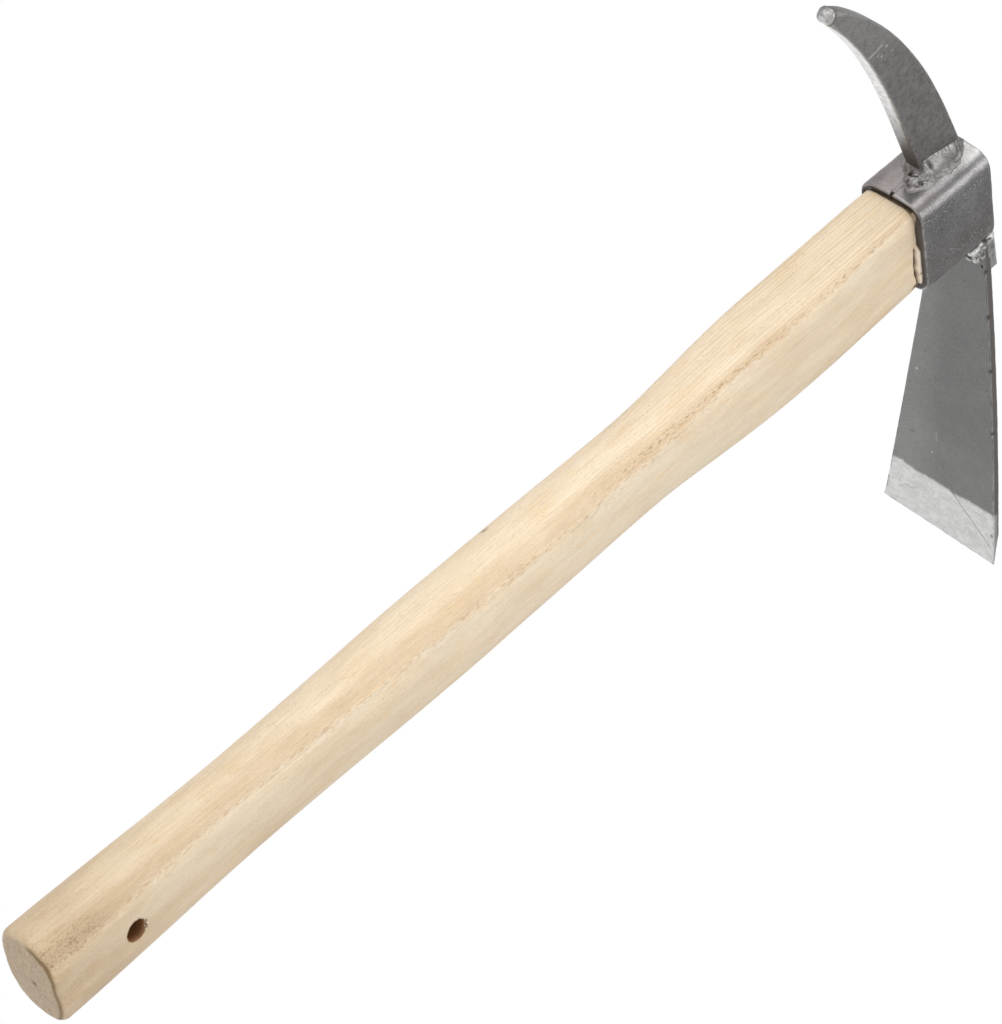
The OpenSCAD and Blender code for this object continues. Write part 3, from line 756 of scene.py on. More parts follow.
def build_seam():
    """The run of weld that fills the folded plate's gap, ground nearly flush with its top."""
    low, high = box_mm("seam_weld")
    count = 64
    rings = []
    for x in np.linspace(low[0] - 0.9, -0.15, 72):
        loop = rounded_loop((high[1] - low[1]) / 2 + 0.3, (high[2] - low[2]) / 2, 0.35, count)
        ring = np.column_stack([np.full(count, x), loop])
        ring[:, 2] += (high[2] + low[2]) / 2 + 0.42 * ease(ring[:, 2] / 1.5)
        rings.append(ring)
    rings = with_ends(np.array(rings), (0.2, 0.6, 0.9), (0.9, 0.6, 0.2))
    rings = rings + ring_normals(rings, 30) * (0.05 * noise(rings, 0.9, 71))[..., None]
    points, faces = closed_skin(rings)
    masks = {"bluing": ease((-points[:, 0] - 14) / 12), "grime_and_shade": np.full(len(points), 0.03)}
    return mesh_piece("seam_bead", points, faces, masks)


# ---------------------------------------------------------------- blade

BLADE_LEN = 139.8
BLADE_ROOT_HALF, BLADE_EDGE_HALF, BLADE_BOW = 11.2, 27.0, 0.5
BLADE_ROOT_T, BLADE_END_T = 3.5, 2.9
BLADE_SET, BLADE_LEAN, BLADE_CURVE_R = 3.2, math.radians(7.6), 2080
EDGE_SKEW = math.radians(2.2)
BEVEL_LEN = 11


def blade_back(h):
    """Where the blade's back face is at depth h below the socket."""
    return -BLADE_SET - h * math.tan(BLADE_LEAN) - h * h / (2 * BLADE_CURVE_R)


def blade_marks():
    """Scratches and specks on the back: ends as (y, depth), width, strength, colour."""
    dark, pale, black = (0.10, 0.095, 0.09), (0.75, 0.75, 0.75), (0.02, 0.018, 0.017)
    marks = [
        ((-4.2, 119.4), (-25.0, 134.4), 0.32, 0.55, dark),
        ((20.2, 131.5), (17.5, 128.9), 0.28, 0.35, dark),
        ((17.5, 128.9), (14.1, 128.8), 0.28, 0.35, dark),
        ((14.1, 128.8), (12.0, 127.4), 0.25, 0.2, dark),
        ((-11.2, 121.9), (-16.1, 122.3), 0.25, 0.25, dark),
        ((-16.1, 122.3), (-21.0, 123.1), 0.25, 0.25, dark),
        ((-12.5, 129.5), (-18.0, 138.0), 0.25, 0.15, dark),
        ((-1.0, 124.0), (3.0, 131.0), 0.25, 0.12, dark),
        ((-24.6, 128.4), (-24.9, 129.0), 0.60, 0.8, dark),
        ((16.1, 73.7), (16.1, 73.9), 0.45, 0.9, pale),
        ((12.7, 63.9), (12.9, 64.3), 0.55, 0.55, dark),
        ((16.8, 103.0), (15.3, 102.8), 0.50, 0.5, dark),
        ((4.9, 97.5), (4.3, 100.9), 0.60, 0.12, pale),
        ((6.0, 107.1), (6.2, 107.3), 0.55, 0.4, pale),
        ((0.9, 110.2), (0.2, 110.8), 0.45, 0.4, dark),
        ((13.0, 34.0), (13.2, 34.2), 0.45, 0.5, dark),
        ((18.6, 30.6), (18.8, 30.8), 0.45, 0.4, dark),
        ((-11.0, 11.6), (-11.2, 12.1), 0.75, 0.95, black),
        ((-3.4, 22.6), (-3.6, 22.8), 0.40, 0.45, dark),
        ((5.6, 58.4), (5.4, 58.6), 0.40, 0.35, dark),
        ((-2.8, 66.0), (-3.0, 66.4), 0.40, 0.30, dark),
    ]
    strokes = []
    for (y0, h0), (y1, h1), width, share, tone in marks:
        start = (blade_back(h0), y0, -SOCKET_TOP - h0)
        end = (blade_back(h1), y1, -SOCKET_TOP - h1)
        strokes.append((start, end, width, share, tone))
    return strokes


def build_blade():
    """The flared plate below the socket, ground to an edge, with its nicks, wear and polished band."""
    across = 74
    side = 7
    edge_t = 0.22
    soft = 0.45
    shares = np.concatenate([np.linspace(-0.006, 1 - BEVEL_LEN / BLADE_LEN, 230),
                             np.linspace(1 - BEVEL_LEN / BLADE_LEN, 1, 34)[1:]])
    rings = []
    marks = []
    for t in shares:
        half = BLADE_ROOT_HALF + (BLADE_EDGE_HALF - BLADE_ROOT_HALF) * t + 4 * BLADE_BOW * t * (1 - t)
        y_back = np.linspace(half - soft, -half + soft, across)
        y_side = -half + soft - soft * np.sin(np.linspace(0, math.pi, side))
        y = np.concatenate([y_back, y_side, y_back[::-1], -y_side])
        # Share of the thickness from the back face (0) to the front face (1).
        through_side = (1 - np.cos(np.linspace(0, math.pi, side))) / 2
        through = np.concatenate([np.zeros(across), through_side, np.ones(across), through_side[::-1]])
        h = t * (BLADE_LEN - y * math.tan(EDGE_SKEW))
        to_edge = (1 - t) * BLADE_LEN
        thick = BLADE_ROOT_T + (BLADE_END_T - BLADE_ROOT_T) * t
        thick = np.minimum(thick, edge_t + (BLADE_END_T - edge_t) * to_edge / BEVEL_LEN)
        x = blade_back(h) + through * thick
        rings.append(np.column_stack([x, y, -SOCKET_TOP - h]))
        marks.append(np.column_stack([np.full(len(y), to_edge), through, np.abs(y) / half]))
    rings = np.array(rings)
    marks = np.array(marks)
    to_edge, through, reach = marks[..., 0], marks[..., 1], marks[..., 2]
    normals = ring_normals(rings, 100)
    lift = 0.05 * noise(rings, 14, 81) + 0.02 * noise(rings, 3, 82)
    lift = lift * ease(to_edge / 6) + 0.012 * noise(rings, 0.8, 83)
    # Nicks along the right back corner.
    right = ease((-rings[..., 1] / np.abs(rings[..., 1]).max(1, keepdims=True) - 0.9) / 0.08)
    nicks = np.zeros_like(right)
    for z, size in ((-53.9, 1.3), (-77.1, 1.2), (-103.9, 0.9), (-34.5, 1.1)):
        nick = hill(rings[..., 2] - z, 0.6 * size) * right * hill(through, 0.3)
        lift -= 0.55 * size * nick
        nicks = np.maximum(nicks, nick)
    lift += 0.05 * right * noise(rings, 1.6, 84)
    rings = rings + normals * lift[..., None]
    # Small chips in the cutting edge.
    chips = np.clip(noise(rings, (9, 2.6, 9), 85) - 0.35, 0, 1) * ease((1.2 - to_edge) / 1.2)
    rings[..., 2] += 0.5 * chips
    wander = 1.2 * noise(rings, 5, 86) + 0.6 * noise(rings, 1.4, 87)
    polish_len = 20.5 - 0.03 * rings[..., 1]
    shine_back = ease((polish_len - to_edge + wander * 0.5) / 1.6 + 0.5) * (through < 0.5)
    shine_front = ease((BEVEL_LEN + 0.6 - to_edge) / 0.8) * (through >= 0.5)
    corner = hill(reach - 1, 0.02) * hill(through - 0.03, 0.09)
    on_side = ease((reach - 0.985) / 0.01) * ease((through - 0.1) / 0.1) * (through < 0.95)
    paler = 0.10 * ease((rings[..., 1] - 2) / 14) + 0.05 * ease((55 - to_edge) / 25)
    polished = np.maximum(shine_back, shine_front) * ease((1.003 - reach) / 0.01 + 0.6)
    # The top of the blade just under the socket gets painted shade; its narrow sides and nicks are darker
    # too.
    at_root = ease((6 - (to_edge.max() - to_edge)) / 6)
    return closed_piece("blade_plate", rings, {
        "shine": np.maximum(polished, paler * (1 - on_side)),
        "edge": 0.8 * np.clip(corner, 0, 1),
        "grime_and_shade": np.clip(0.5 * at_root + 0.62 * on_side + 0.9 * nicks, 0, 1),
    })


# ---------------------------------------------------------------- pick

PICK_LEN = 109.6
PICK_HALF_T = 3.4
PICK_ROOT_HALF, PICK_TIP_HALF, PICK_TAPER = 10.0, 2.95, 1.9
PICK_SET, PICK_LEAN, PICK_CURL = 11.9, 14.6, 0.0049
PICK_Y = 0.7
PICK_BURIED = 6


def pick_spine(s):
    """Points and directions of the pick's centre line at distances from the socket's top."""
    fine = np.linspace(-PICK_BURIED, PICK_LEN + 2, 1200)
    angle = np.radians(90 + PICK_LEAN + PICK_CURL * np.clip(fine, 0, None) ** 2 / 2)
    step = fine[1] - fine[0]
    x = np.concatenate([[0], np.cumsum(np.cos((angle[1:] + angle[:-1]) / 2) * step)])
    z = np.concatenate([[0], np.cumsum(np.sin((angle[1:] + angle[:-1]) / 2) * step)])
    x += -PICK_SET + PICK_BURIED * math.tan(math.radians(PICK_LEAN))
    z += SOCKET_TOP - PICK_BURIED
    return np.interp(s, fine, x), np.interp(s, fine, z), np.interp(s, fine, angle)


def pick_marks():
    """A light scratch across the right face, with glints beside it."""
    face = PICK_Y - PICK_HALF_T
    pale = (0.70, 0.69, 0.69)
    return [
        ((-42.4, face, 91.0), (-35.8, face, 92.4), 0.40, 0.7, pale),
        ((-36.6, face, 87.6), (-36.2, face, 87.8), 0.50, 0.8, pale),
        ((-34.0, face, 90.4), (-33.6, face, 90.5), 0.45, 0.7, pale),
        ((-38.4, face, 89.0), (-38.0, face, 89.1), 0.45, 0.6, pale),
        ((-31.6, face, 86.6), (-31.0, face, 86.9), 0.40, 0.6, pale),
    ]


def build_pick():
    """The curved, tapering bar above the socket, with its hammered tip."""
    count = 112
    body = np.linspace(-1.5, PICK_LEN, 230)
    spine_x, spine_z, angle = pick_spine(body)
    taper = (np.clip(body, 0, None) / PICK_LEN) ** PICK_TAPER
    half_w = PICK_ROOT_HALF + (PICK_TIP_HALF - PICK_ROOT_HALF) * taper
    rings = []
    for k in range(len(body)):
        corner = 0.9 + 1.5 * ease((body[k] - PICK_LEN + 9) / 9)
        loop = rounded_loop(PICK_HALF_T, half_w[k], corner, count)
        inner = np.array([-math.sin(angle[k]), math.cos(angle[k])])
        rings.append(np.column_stack([spine_x[k] + inner[0] * loop[:, 1], PICK_Y + loop[:, 0],
                                      spine_z[k] + inner[1] * loop[:, 1]]))
    # The blunt end: rings that shrink as they round over, then a low dome.
    tip_shrink, tip_bulge, dome_rise = 0.42, 0.5, 0.9
    tip = rings[-1]
    middle = tip.mean(0)
    forward = np.array([math.cos(angle[-1]), 0, math.sin(angle[-1])])
    for turn in np.radians(np.linspace(0, 90, 13)[1:-1]):
        shrink = 1 - tip_shrink * (1 - math.cos(turn))
        rings.append(middle + (tip - middle) * shrink + forward * PICK_TIP_HALF * tip_bulge * math.sin(turn))
    last = rings[-1]
    middle = last.mean(0)
    for share in (0.9, 0.75, 0.6, 0.45, 0.3, 0.15):
        rings.append(middle + (last - middle) * share + forward * dome_rise * (1 - share ** 2))
    rings = np.array(rings)
    normals = ring_normals(rings, 100)
    rows = len(rings)
    run = np.concatenate([body, np.full(rows - len(body), PICK_LEN + 2)])[:, None] + np.zeros((1, count))
    at_tip = ease((run - PICK_LEN + 1.5) / 2.0)
    lift = 0.08 * noise(rings, 9, 91) + 0.004 * noise(rings, 2.2, 92) + 0.007 * noise(rings, 0.8, 93)
    lift = lift + at_tip * (0.14 * noise(rings, 2.4, 94) + 0.06 * noise(rings, 0.9, 95))
    # A crease where the hammered end meets the sides.
    lift -= 0.28 * hill(run - PICK_LEN + 0.4, 0.8) * ease(noise(rings, 4, 96) + 0.8)
    rings = rings + normals * lift[..., None]
    edge = hill(np.abs(normals[..., 1]) - 0.7, 0.28)
    height = rings[..., 2] - SOCKET_TOP
    inner_face = ease((-normals[..., 0] * 0.8 - normals[..., 2] * 0.6 - 0.3) / 0.4)
    shine = (0.22 + 0.2 * noise(rings, 2.0, 98)) * at_tip + 0.15 * ease((height - 45) / 45)
    shine += inner_face * ease((height - 8) / 40) * (0.9 + 0.3 * noise(rings, 1.6, 97))
    grime_and_shade = 0.85 * inner_face * ease((16 - height) / 10) + 0.4 * edge * inner_face
    # Painted shade in the crease round the tip.
    grime_and_shade += 0.7 * hill(run - PICK_LEN + 0.4, 0.6)
    return closed_piece("pick_bar", rings, {
        "shine": np.clip(shine, 0, 1),
        "edge": 0.8 * edge * (1 - 0.8 * inner_face),
        "grime_and_shade": np.clip(grime_and_shade, 0, 1),
    })


# ---------------------------------------------------------------- welds

def bead(name, spots, seed, masks):
    """A lumpy run of weld: balls of (x, y, z, radius) melted together. Masks are rules over its points."""
    voxel = 0.28
    ripple = 0.18
    points = []
    faces = []
    angle = np.linspace(0, 2 * math.pi, 15)[:-1]
    n = len(angle)
    rise = np.linspace(0, math.pi, 9)
    for x, y, z, r in spots:
        start = len(points)
        for a in rise[1:-1]:
            for b in angle:
                points.append((x + r * math.sin(a) * math.cos(b), y + r * math.sin(a) * math.sin(b),
                               z + r * math.cos(a)))
        points.append((x, y, z + r))
        points.append((x, y, z - r))
        top, bottom = len(points) - 2, len(points) - 1
        for i in range(len(rise) - 3):
            for j in range(n):
                k = (j + 1) % n
                faces.append([start + i * n + j, start + (i + 1) * n + j, start + (i + 1) * n + k,
                              start + i * n + k])
        for j in range(n):
            k = (j + 1) % n
            faces.append([top, start + j, start + k])
            low = start + (len(rise) - 3) * n
            faces.append([bottom, low + k, low + j])
    obj = mesh_piece(name, points, faces)
    melt = obj.modifiers.new("melt", "REMESH")
    melt.mode = "VOXEL"
    melt.voxel_size = voxel * MM
    even = obj.modifiers.new("even", "SMOOTH")
    even.factor = 0.6
    even.iterations = 4
    bpy.context.view_layer.update()
    baked(obj)
    mesh = obj.data
    co, no = np.empty((2, len(mesh.vertices) * 3), np.float32)
    mesh.vertices.foreach_get("co", co)
    mesh.vertices.foreach_get("normal", no)
    co = co.reshape(-1, 3) / MM
    no = no.reshape(-1, 3)
    lift = ripple * noise(co, 1.3, seed) + 0.5 * ripple * noise(co, 0.6, seed + 1)
    co = co + no * lift[:, None]
    mesh.vertices.foreach_set("co", (co * MM).astype(np.float32).ravel())
    for mask, rule in masks.items():
        attribute = mesh.attributes.new(mask, "FLOAT", "POINT")
        attribute.data.foreach_set("value", np.asarray(rule(co), np.float32))
    mesh.shade_smooth()
    mesh.update()
    return obj


MOUND = np.array([(-22.7, 7.3), (-24.3, 3.8), (-28.9, 0.1), (-30.6, -4.1), (-29.2, -5.1), (-25.2, -8.0),
                  (-19.7, -6.9), (-14.5, -9.1), (-9.0, -7.9), (-3.9, -5.8), (-0.6, -1.8), (-0.9, 2.6),
                  (-4.5, 6.4), (-10.0, 8.2), (-16.5, 8.6)])


def distance_inside(x, y, outline):
    """Distance from each point to a closed outline, positive inside."""
    closed = np.vstack([outline, outline[:1]])
    best = np.full(x.shape, 1e9)
    winding = np.zeros(x.shape, bool)
    for (ax, ay), (bx, by) in zip(closed[:-1], closed[1:]):
        dx, dy = bx - ax, by - ay
        t = np.clip(((x - ax) * dx + (y - ay) * dy) / (dx * dx + dy * dy), 0, 1)
        best = np.minimum(best, np.hypot(x - ax - t * dx, y - ay - t * dy))
        crosses = ((ay > y) != (by > y)) & (x < (bx - ax) * (y - ay) / (by - ay + 1e-12) + ax)
        winding ^= crosses
    return np.where(winding, best, -best)


def build_pick_weld():
    """The mound round the pick's root: ground smooth on the right, pitted and lumpy behind."""
    x, y = np.meshgrid(np.linspace(-32.5, 0.0, 200), np.linspace(-10.6, 10.0, 128), indexing="ij")
    flat = np.stack([x, y, np.zeros_like(x)], -1)
    inside = distance_inside(x, y, MOUND) + 0.9 * noise(flat, 4.5, 101) + 0.25 * noise(flat, 1.3, 102)
    beside = np.clip(np.abs(y - PICK_Y) - PICK_HALF_T, 0, None)
    before = np.clip(np.maximum(-23.0 - x, x + 2.6), 0, None)
    off_pick = np.hypot(beside, before)
    share = np.clip(inside, 0, None) / (np.clip(inside, 0, None) + off_pick + 0.05)
    behind = ease((-x - 21.5) / 3.0)
    rough = ease((-x - 19.0) / 5) * ease(inside / 2.5)
    crest = 3.2 + 3.0 * ease((-x - 3) / 18)
    height = crest * (0.25 * share + 0.75 * share ** 2.2) * (1 - 0.55 * behind)
    # Ripples left where the bead turned round the front corner.
    around = np.hypot(x + 8.6, y + 2.2)
    turning = ease((x + 12) / 4) * ease((-y - 1.0) / 1.5)
    ripples = hill(around - 3.6, 0.35) + hill(around - 5.2, 0.35) + 0.9 * hill(around - 6.8, 0.4)
    height -= 0.20 * ripples * turning * ease(inside / 0.8)
    lumps = 0.8 * noise(flat, 2.4, 103) + 0.55 * noise(flat, 1.1, 104) + 0.35 * noise(flat, 0.6, 108)
    firm = ease(inside / 1.2)
    height += firm * lumps * (0.03 + 0.75 * rough)
    height += 0.25 * noise(flat, 4.0, 109) * firm * (1 - rough)
    foot = hill(off_pick - 0.35, 0.8) * (y < 0)
    height += foot * 0.08 * noise(flat, 0.9, 105) * firm
    pit = np.zeros_like(x)
    for px, py, size, deep in ((-24.6, 3.6, 0.8, 1.4), (-18.9, -3.6, 0.7, 1.2), (-25.3, -4.4, 0.75, 1.6),
                               (-22.4, -3.0, 0.9, 0.9), (-27.4, -0.6, 0.6, 0.6), (-24.4, 0.6, 0.8, 0.9)):
        spot = hill(np.hypot(x - px, y - py), size)
        pit = np.maximum(pit, spot)
        height -= deep * spot * firm
    base = np.stack([x, y, np.full_like(x, SOCKET_TOP)], -1)
    past_fold = np.clip(np.abs(y) - SOCKET_HALF_W + FOLD_R, 0, FOLD_R - 0.1)
    fold = FOLD_R - np.sqrt(FOLD_R ** 2 - past_fold ** 2)
    z = SOCKET_TOP - fold + crown(base) + np.clip(height, -0.1, None) * (inside > 0)
    z -= 0.6 * ease(-inside / 1.2)
    top = np.stack([x, y, z], -1)
    under = np.stack([x, y, np.full_like(x, SOCKET_TOP - 1.8)], -1)
    rows, columns = x.shape
    points = np.concatenate([top.reshape(-1, 3), under.reshape(-1, 3)])
    index = np.arange(rows * columns).reshape(rows, columns)
    low = index + rows * columns
    faces = []
    for a, flip in ((index, False), (low, True)):
        quads = np.stack([a[:-1, :-1], a[1:, :-1], a[1:, 1:], a[:-1, 1:]], -1).reshape(-1, 4)
        faces += (quads[:, ::-1] if flip else quads).tolist()
    border = np.concatenate([index[:, 0], index[-1, 1:], index[-2::-1, -1], index[0, -2:0:-1]])
    lower = border + rows * columns
    for k in range(len(border)):
        n = (k + 1) % len(border)
        faces.append([int(border[k]), int(lower[k]), int(lower[n]), int(border[n])])
    # Painted glints: bright spots along the pick's foot and on the tops of the lumps behind it.
    weld_glints = 0.2 * foot * ease(noise(flat, 0.6, 106) * 3 - 1.0) + 0.4 * ease(lumps * 1.5) * rough
    bluing = np.clip(0.9 * ease((y + 3) / 5) + 0.6 * behind, 0, 1) * ease((-x - 13) / 8)
    masks = {
        "bluing": bluing * (1 - 0.6 * pit),
        # Darker in the pits and behind the pick, with painted shade in the ripple grooves.
        "grime_and_shade": np.clip(0.95 * pit + 0.3 * behind * hill(y - PICK_Y, 3) + 0.45 * ripples * turning, 0, 1),
        "shine": np.clip(weld_glints + 0.05, 0, 1),
        "glint": 0.8 * rough + 0.5 * hill(off_pick - 0.5, 0.6) * (y < 0),
    }
    masks = {mask: np.concatenate([v.ravel(), np.zeros(rows * columns)]) for mask, v in masks.items()}
    return mesh_piece("pick_weld_mound", points, faces, masks)


STEEL_MASKS = {
    "grime_and_shade": lambda p: np.clip(0.9 * ease((noise(p, 1.8, 111) - 0.25) / 0.3), 0, 1),
    "shine": lambda p: np.clip(0.6 + 0.8 * noise(p, 1.4, 112), 0, 1),
}


def build_rear_bead():
    """Weld under the socket along the blade's back face, spilling round its right end."""
    spots = []
    for y in np.linspace(10.6, -10.8, 26):
        wave = 0.5 * math.sin(y * 1.7) + 0.3 * math.sin(y * 3.1 + 1)
        spots.append((blade_back(2.0) - 0.7, y, -SOCKET_TOP - 0.9, 1.9 + 0.35 * wave))
    # A crescent hangs below the socket on the right, and beads climb its lower corner.
    crescent = [(-1.8, 9.4), (-3.4, 10.5), (-5.4, 11.2), (-7.6, 11.2), (-9.4, 10.3), (-11.0, 8.6)]
    for y, drop in resample_open(crescent, 16):
        size = 0.80 + 0.45 * math.sin((y + 1.8) / -9.2 * math.pi) + 0.10 * math.sin(5 * y)
        spots.append((blade_back(drop) + 0.25, y, -SOCKET_TOP - drop, size))
    for y, drop, size in ((-9.8, 5.0, 1.6), (-10.8, 2.4, 1.9), (-8.0, 3.2, 1.5), (-11.2, 7.2, 1.2),
                          (-6.0, 1.6, 1.3), (-5.2, 8.9, 1.0), (-7.4, 8.6, 1.1), (-9.6, 7.6, 1.2),
                          (-3.6, 8.4, 0.8)):
        spots.append((blade_back(drop) - 0.1, y, -SOCKET_TOP - drop, size))
    for x in np.linspace(-10.5, -1.9, 12):
        size = 1.45 + 0.35 * math.sin(x * 2.3)
        spots.append((x, -12.6 - 0.35 * math.sin(x * 1.9), -SOCKET_TOP + 0.6 + 0.17 * (x + 10.5), size))
    return bead("blade_weld_back", spots, 121, STEEL_MASKS)


def build_front_pad():
    """The pad of weld down the blade's front, rippled and cut off flat at its foot."""
    low, high = box_mm("blade_weld_front")
    depth = high[2] - low[2]
    count = 96
    rings = []
    for z in np.linspace(high[2] + 0.8, low[2], 60):
        h = -SOCKET_TOP - z
        below = max(h, 0)
        inner = blade_back(below) + BLADE_ROOT_T * 0.5
        outer = blade_back(below) + BLADE_ROOT_T + 1.3 + 2.7 * below / depth
        loop = rounded_loop((high[1] - low[1]) / 2, (outer - inner) / 2, 0.7, count)
        rings.append(np.column_stack([(outer + inner) / 2 + loop[:, 1], loop[:, 0], np.full(count, z)]))
    rings = with_ends(np.array(rings), (0.2, 0.6, 0.95), (0.93, 0.8, 0.6, 0.4, 0.2))
    normals = ring_normals(rings, 30)
    front = ease(normals[..., 0] / 0.5)
    lift = 0.22 * noise(rings, (3, 1.5, 9), 131) + 0.10 * noise(rings, (2, 0.7, 4), 132)
    lift = lift * (0.25 + 0.75 * front)
    rings = rings + normals * lift[..., None]
    rings[..., 0] = np.minimum(rings[..., 0], high[0])
    points, faces = closed_skin(rings)
    masks = {
        "shine": 0.45 + 0.3 * noise(points, (2, 0.8, 6), 133),
        "grime_and_shade": 0.5 * ease((noise(points, 2.0, 134) - 0.3) / 0.3),
    }
    return mesh_piece("blade_weld_pad", points, faces, masks)


# ---------------------------------------------------------------- wedges

def build_wedge(name, node, vertical, seed):
    """A driven wedge, its outer end hammered over."""
    low, high = box_mm(node)
    length = high[0] - low[0]
    thick_axis, wide_axis = (1, 2) if vertical else (2, 1)
    half_t = (high[thick_axis] - low[thick_axis]) / 2
    half_w = (high[wide_axis] - low[wide_axis]) / 2 - 0.15
    thin = 0.4
    count = 88
    rings = []
    for k in np.linspace(0, 1, 40):
        x = low[0] + length * k + 0.35 * k
        t = (thin + (half_t - thin) * k) - 0.04
        loop = rounded_loop(t, half_w, min(0.35, t * 0.8), count)
        ring = np.zeros((count, 3))
        ring[:, 0] = x
        ring[:, thick_axis] = loop[:, 0]
        ring[:, wide_axis] = loop[:, 1]
        rings.append(ring)
    rings = with_ends(np.array(rings), (0.2, 0.7), (0.97, 0.9, 0.8, 0.7, 0.6, 0.5, 0.4, 0.3, 0.2, 0.1))
    at_head = ease(rings[..., 0] - high[0] + 1)
    # Hammer marks on the outer end.
    rings[..., 0] += at_head * (0.16 * noise(rings, (9, 1.3, 1.3), seed) - 0.05)
    points, faces = closed_skin(rings)
    even = np.ones(len(points))
    masks = {"along": 0.3 * even, "turn": 0.6 * even, "end": (points[:, 0] > high[0] - 0.3) * 1.0,
             "edge": hill(points[:, 0] - high[0], 0.6) * 0.6, "grime_and_shade": 0.15 * even, "shine": 0.2 * even}
    return mesh_piece(name, points, faces, masks)


# ---------------------------------------------------------------- scene

def build_object():
    """Builds every piece, then gives it its material and its place in the frame."""
    wood = ash_wood()
    sleeve = worn_steel("socket_steel", (0.124, 0.12, 0.118), (0.276, 0.271, 0.269), sparkle=0.45,
                        rough=(0.29, 0.40), bump=0.03, grime_and_shade=(0.050, 0.043, 0.039))
    plate = worn_steel("blade_steel", (0.182, 0.181, 0.178), (0.232, 0.231, 0.227), grain=0.6, sparkle=0.03,
                       pits=0.6, rough=(0.32, 0.40), bump=0.01, polish_and_highlight=(0.77, 0.765, 0.76),
                       strokes=blade_marks())
    bar = worn_steel("pick_steel", (0.092, 0.084, 0.081), (0.217, 0.201, 0.196), grain=0.4, sparkle=0.12,
                     polish_and_highlight=(0.80, 0.80, 0.80), strokes=pick_marks())
    weld = worn_steel("weld_metal", (0.14, 0.135, 0.132), (0.27, 0.265, 0.26), sparkle=0.5,
                      rough=(0.38, 0.48), polish_and_highlight=(0.78, 0.78, 0.77))
    for obj, material, slot, node in (
        (build_handle(), wood, "ash_wood", "handle"),
        (build_socket(), sleeve, "socket_steel", "socket"),
        (build_seam(), sleeve, "weld_metal", "seam_weld"),
        (build_blade(), plate, "blade_steel", "blade"),
        (build_pick(), bar, "pick_steel", "pick"),
        (build_pick_weld(), weld, "weld_metal", "pick_weld"),
        (build_rear_bead(), weld, "weld_metal", "blade_weld_rear"),
        (build_front_pad(), weld, "weld_metal", "blade_weld_front"),
        (build_wedge("wedge_wooden", "wood_wedge", True, 141), wood, "wedge_wood", "wood_wedge"),
        (build_wedge("wedge_steel", "steel_wedge", False, 142), plate, "wedge_steel", "steel_wedge"),
    ):
        obj.data.materials.clear()
        obj.data.materials.append(material)
        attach(obj, "root")
        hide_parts(node)


def white_floor():
    """A white floor well below the tool. It shows from above only, and casts no light of its own."""
    size = 12
    drop = 1.6
    mesh = bpy.data.meshes.new("floor")
    corners = [(-size, -size, 0), (size, -size, 0), (size, size, 0), (-size, size, 0)]
    mesh.from_pydata(corners, [], [[0, 1, 2, 3]])
    floor = bpy.data.objects.new("floor", mesh)
    floor.location.z = -drop
    bpy.context.scene.collection.objects.link(floor)
    g = Graph(bpy.data.materials.new("floor_white"))
    seen = g.node("ShaderNodeLightPath", {}, "Is Camera Ray")
    from_below = g.node("ShaderNodeNewGeometry", {}, "Backfacing")
    shown = g.maths("SUBTRACT", seen, from_below, clamp=True)
    glow = g.node("ShaderNodeEmission", {"Color": (1, 1, 1, 1)})
    clear = g.node("ShaderNodeBsdfTransparent", {})
    material = g.end("ShaderNodeOutputMaterial", g.node("ShaderNodeMixShader", {0: shown, 1: clear, 2: glow}))
    mesh.materials.append(material)


# Soft shapes in the studio's light: direction, half-width in degrees at full and at none, strength.
LOBES = [
    ((0.400, 0.120, 0.905), 10, 32, 1.84),
    ((0.412, -0.890, 0.200), 6, 26, 2.40),
    ((-0.600, 0.534, -0.600), 22, 58, 0.20),
    ((0.178, 0.534, -0.826), 14, 44, 0.40),
]
WORLD_LEVEL = 0.656


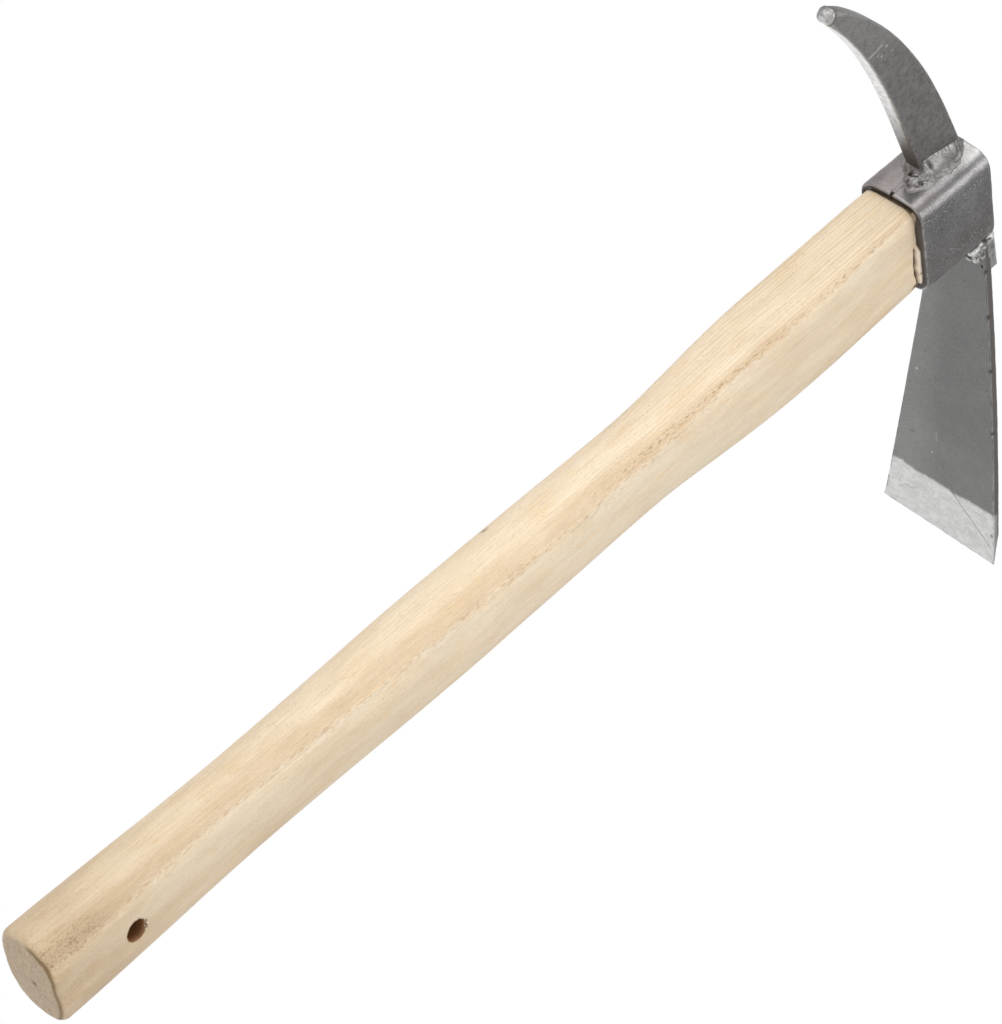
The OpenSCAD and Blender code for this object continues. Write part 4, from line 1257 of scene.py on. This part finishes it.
def studio_world():
    """White to the camera; to the object, an even studio with a few softly brighter and dimmer areas."""
    world = bpy.data.worlds.new("studio")
    bpy.context.scene.world = world
    g = Graph(world)
    looking = g.node("ShaderNodeTexCoord", {}, "Generated")
    total = WORLD_LEVEL
    for direction, inner, outer, strength in LOBES:
        near = g.vector("DOT_PRODUCT", looking, Vector(direction).normalized())
        lobe = g.remap(near, math.cos(math.radians(outer)), math.cos(math.radians(inner)), 0.0, strength)
        total = g.plus(lobe, total)
    seen = g.node("ShaderNodeLightPath", {}, "Is Camera Ray")
    level = g.node("ShaderNodeMix", {"Factor": seen, "A": total, "B": 1.0}, "Result")
    g.end("ShaderNodeOutputWorld", g.node("ShaderNodeBackground", {"Color": (1, 1, 1, 1), "Strength": level}))


LIGHT_AWAY = 1.6


def soft_light(name, direction, size, power):
    """An area light aimed at the tool's middle, unseen by the camera."""
    middle = (CAD_LOW + CAD_HIGH) / 2
    data = bpy.data.lights.new(name, "AREA")
    data.shape = "RECTANGLE"
    data.size, data.size_y = size
    data.energy = power
    light = bpy.data.objects.new(name, data)
    towards = Vector(direction).normalized()
    light.location = middle + towards * LIGHT_AWAY
    light.rotation_euler = (-towards).to_track_quat("-Z", "Y").to_euler()
    light.visible_camera = False
    bpy.context.scene.collection.objects.link(light)


def photo_camera():
    """The view from above and behind the tool's right side, with a long lens."""
    azimuth, elevation, roll = math.radians(-37.66), math.radians(47.57), math.radians(-10.55)
    aim = Vector((-0.2118, 0.0189, 0))
    distance = 1.6416
    flat = math.cos(elevation)
    back = Vector((math.sin(azimuth) * flat, -math.cos(azimuth) * flat, math.sin(elevation)))
    data = bpy.data.cameras.new("camera")
    data.lens = 173.35
    data.sensor_width = 36
    data.clip_start, data.clip_end = 0.05, 60
    camera = bpy.data.objects.new("camera", data)
    turn = (-back).to_track_quat("-Z", "Y").to_matrix().to_4x4()
    camera.matrix_world = Matrix.Translation(aim + back * distance) @ turn @ Matrix.Rotation(roll, 4, "Z")
    bpy.context.scene.collection.objects.link(camera)
    bpy.context.scene.camera = camera


build_object()
white_floor()
studio_world()
soft_light("top_softbox", (-0.2, 0.15, 1.0), (1.4, 1.0), 4)
soft_light("right_fill", (-0.45, -0.9, -0.15), (1.2, 1.0), 2.5)
soft_light("left_softbox", (-0.9, -0.35, 0.6), (1.0, 1.0), 4)
photo_camera()
bpy.context.scene.view_settings.view_transform = "Standard"
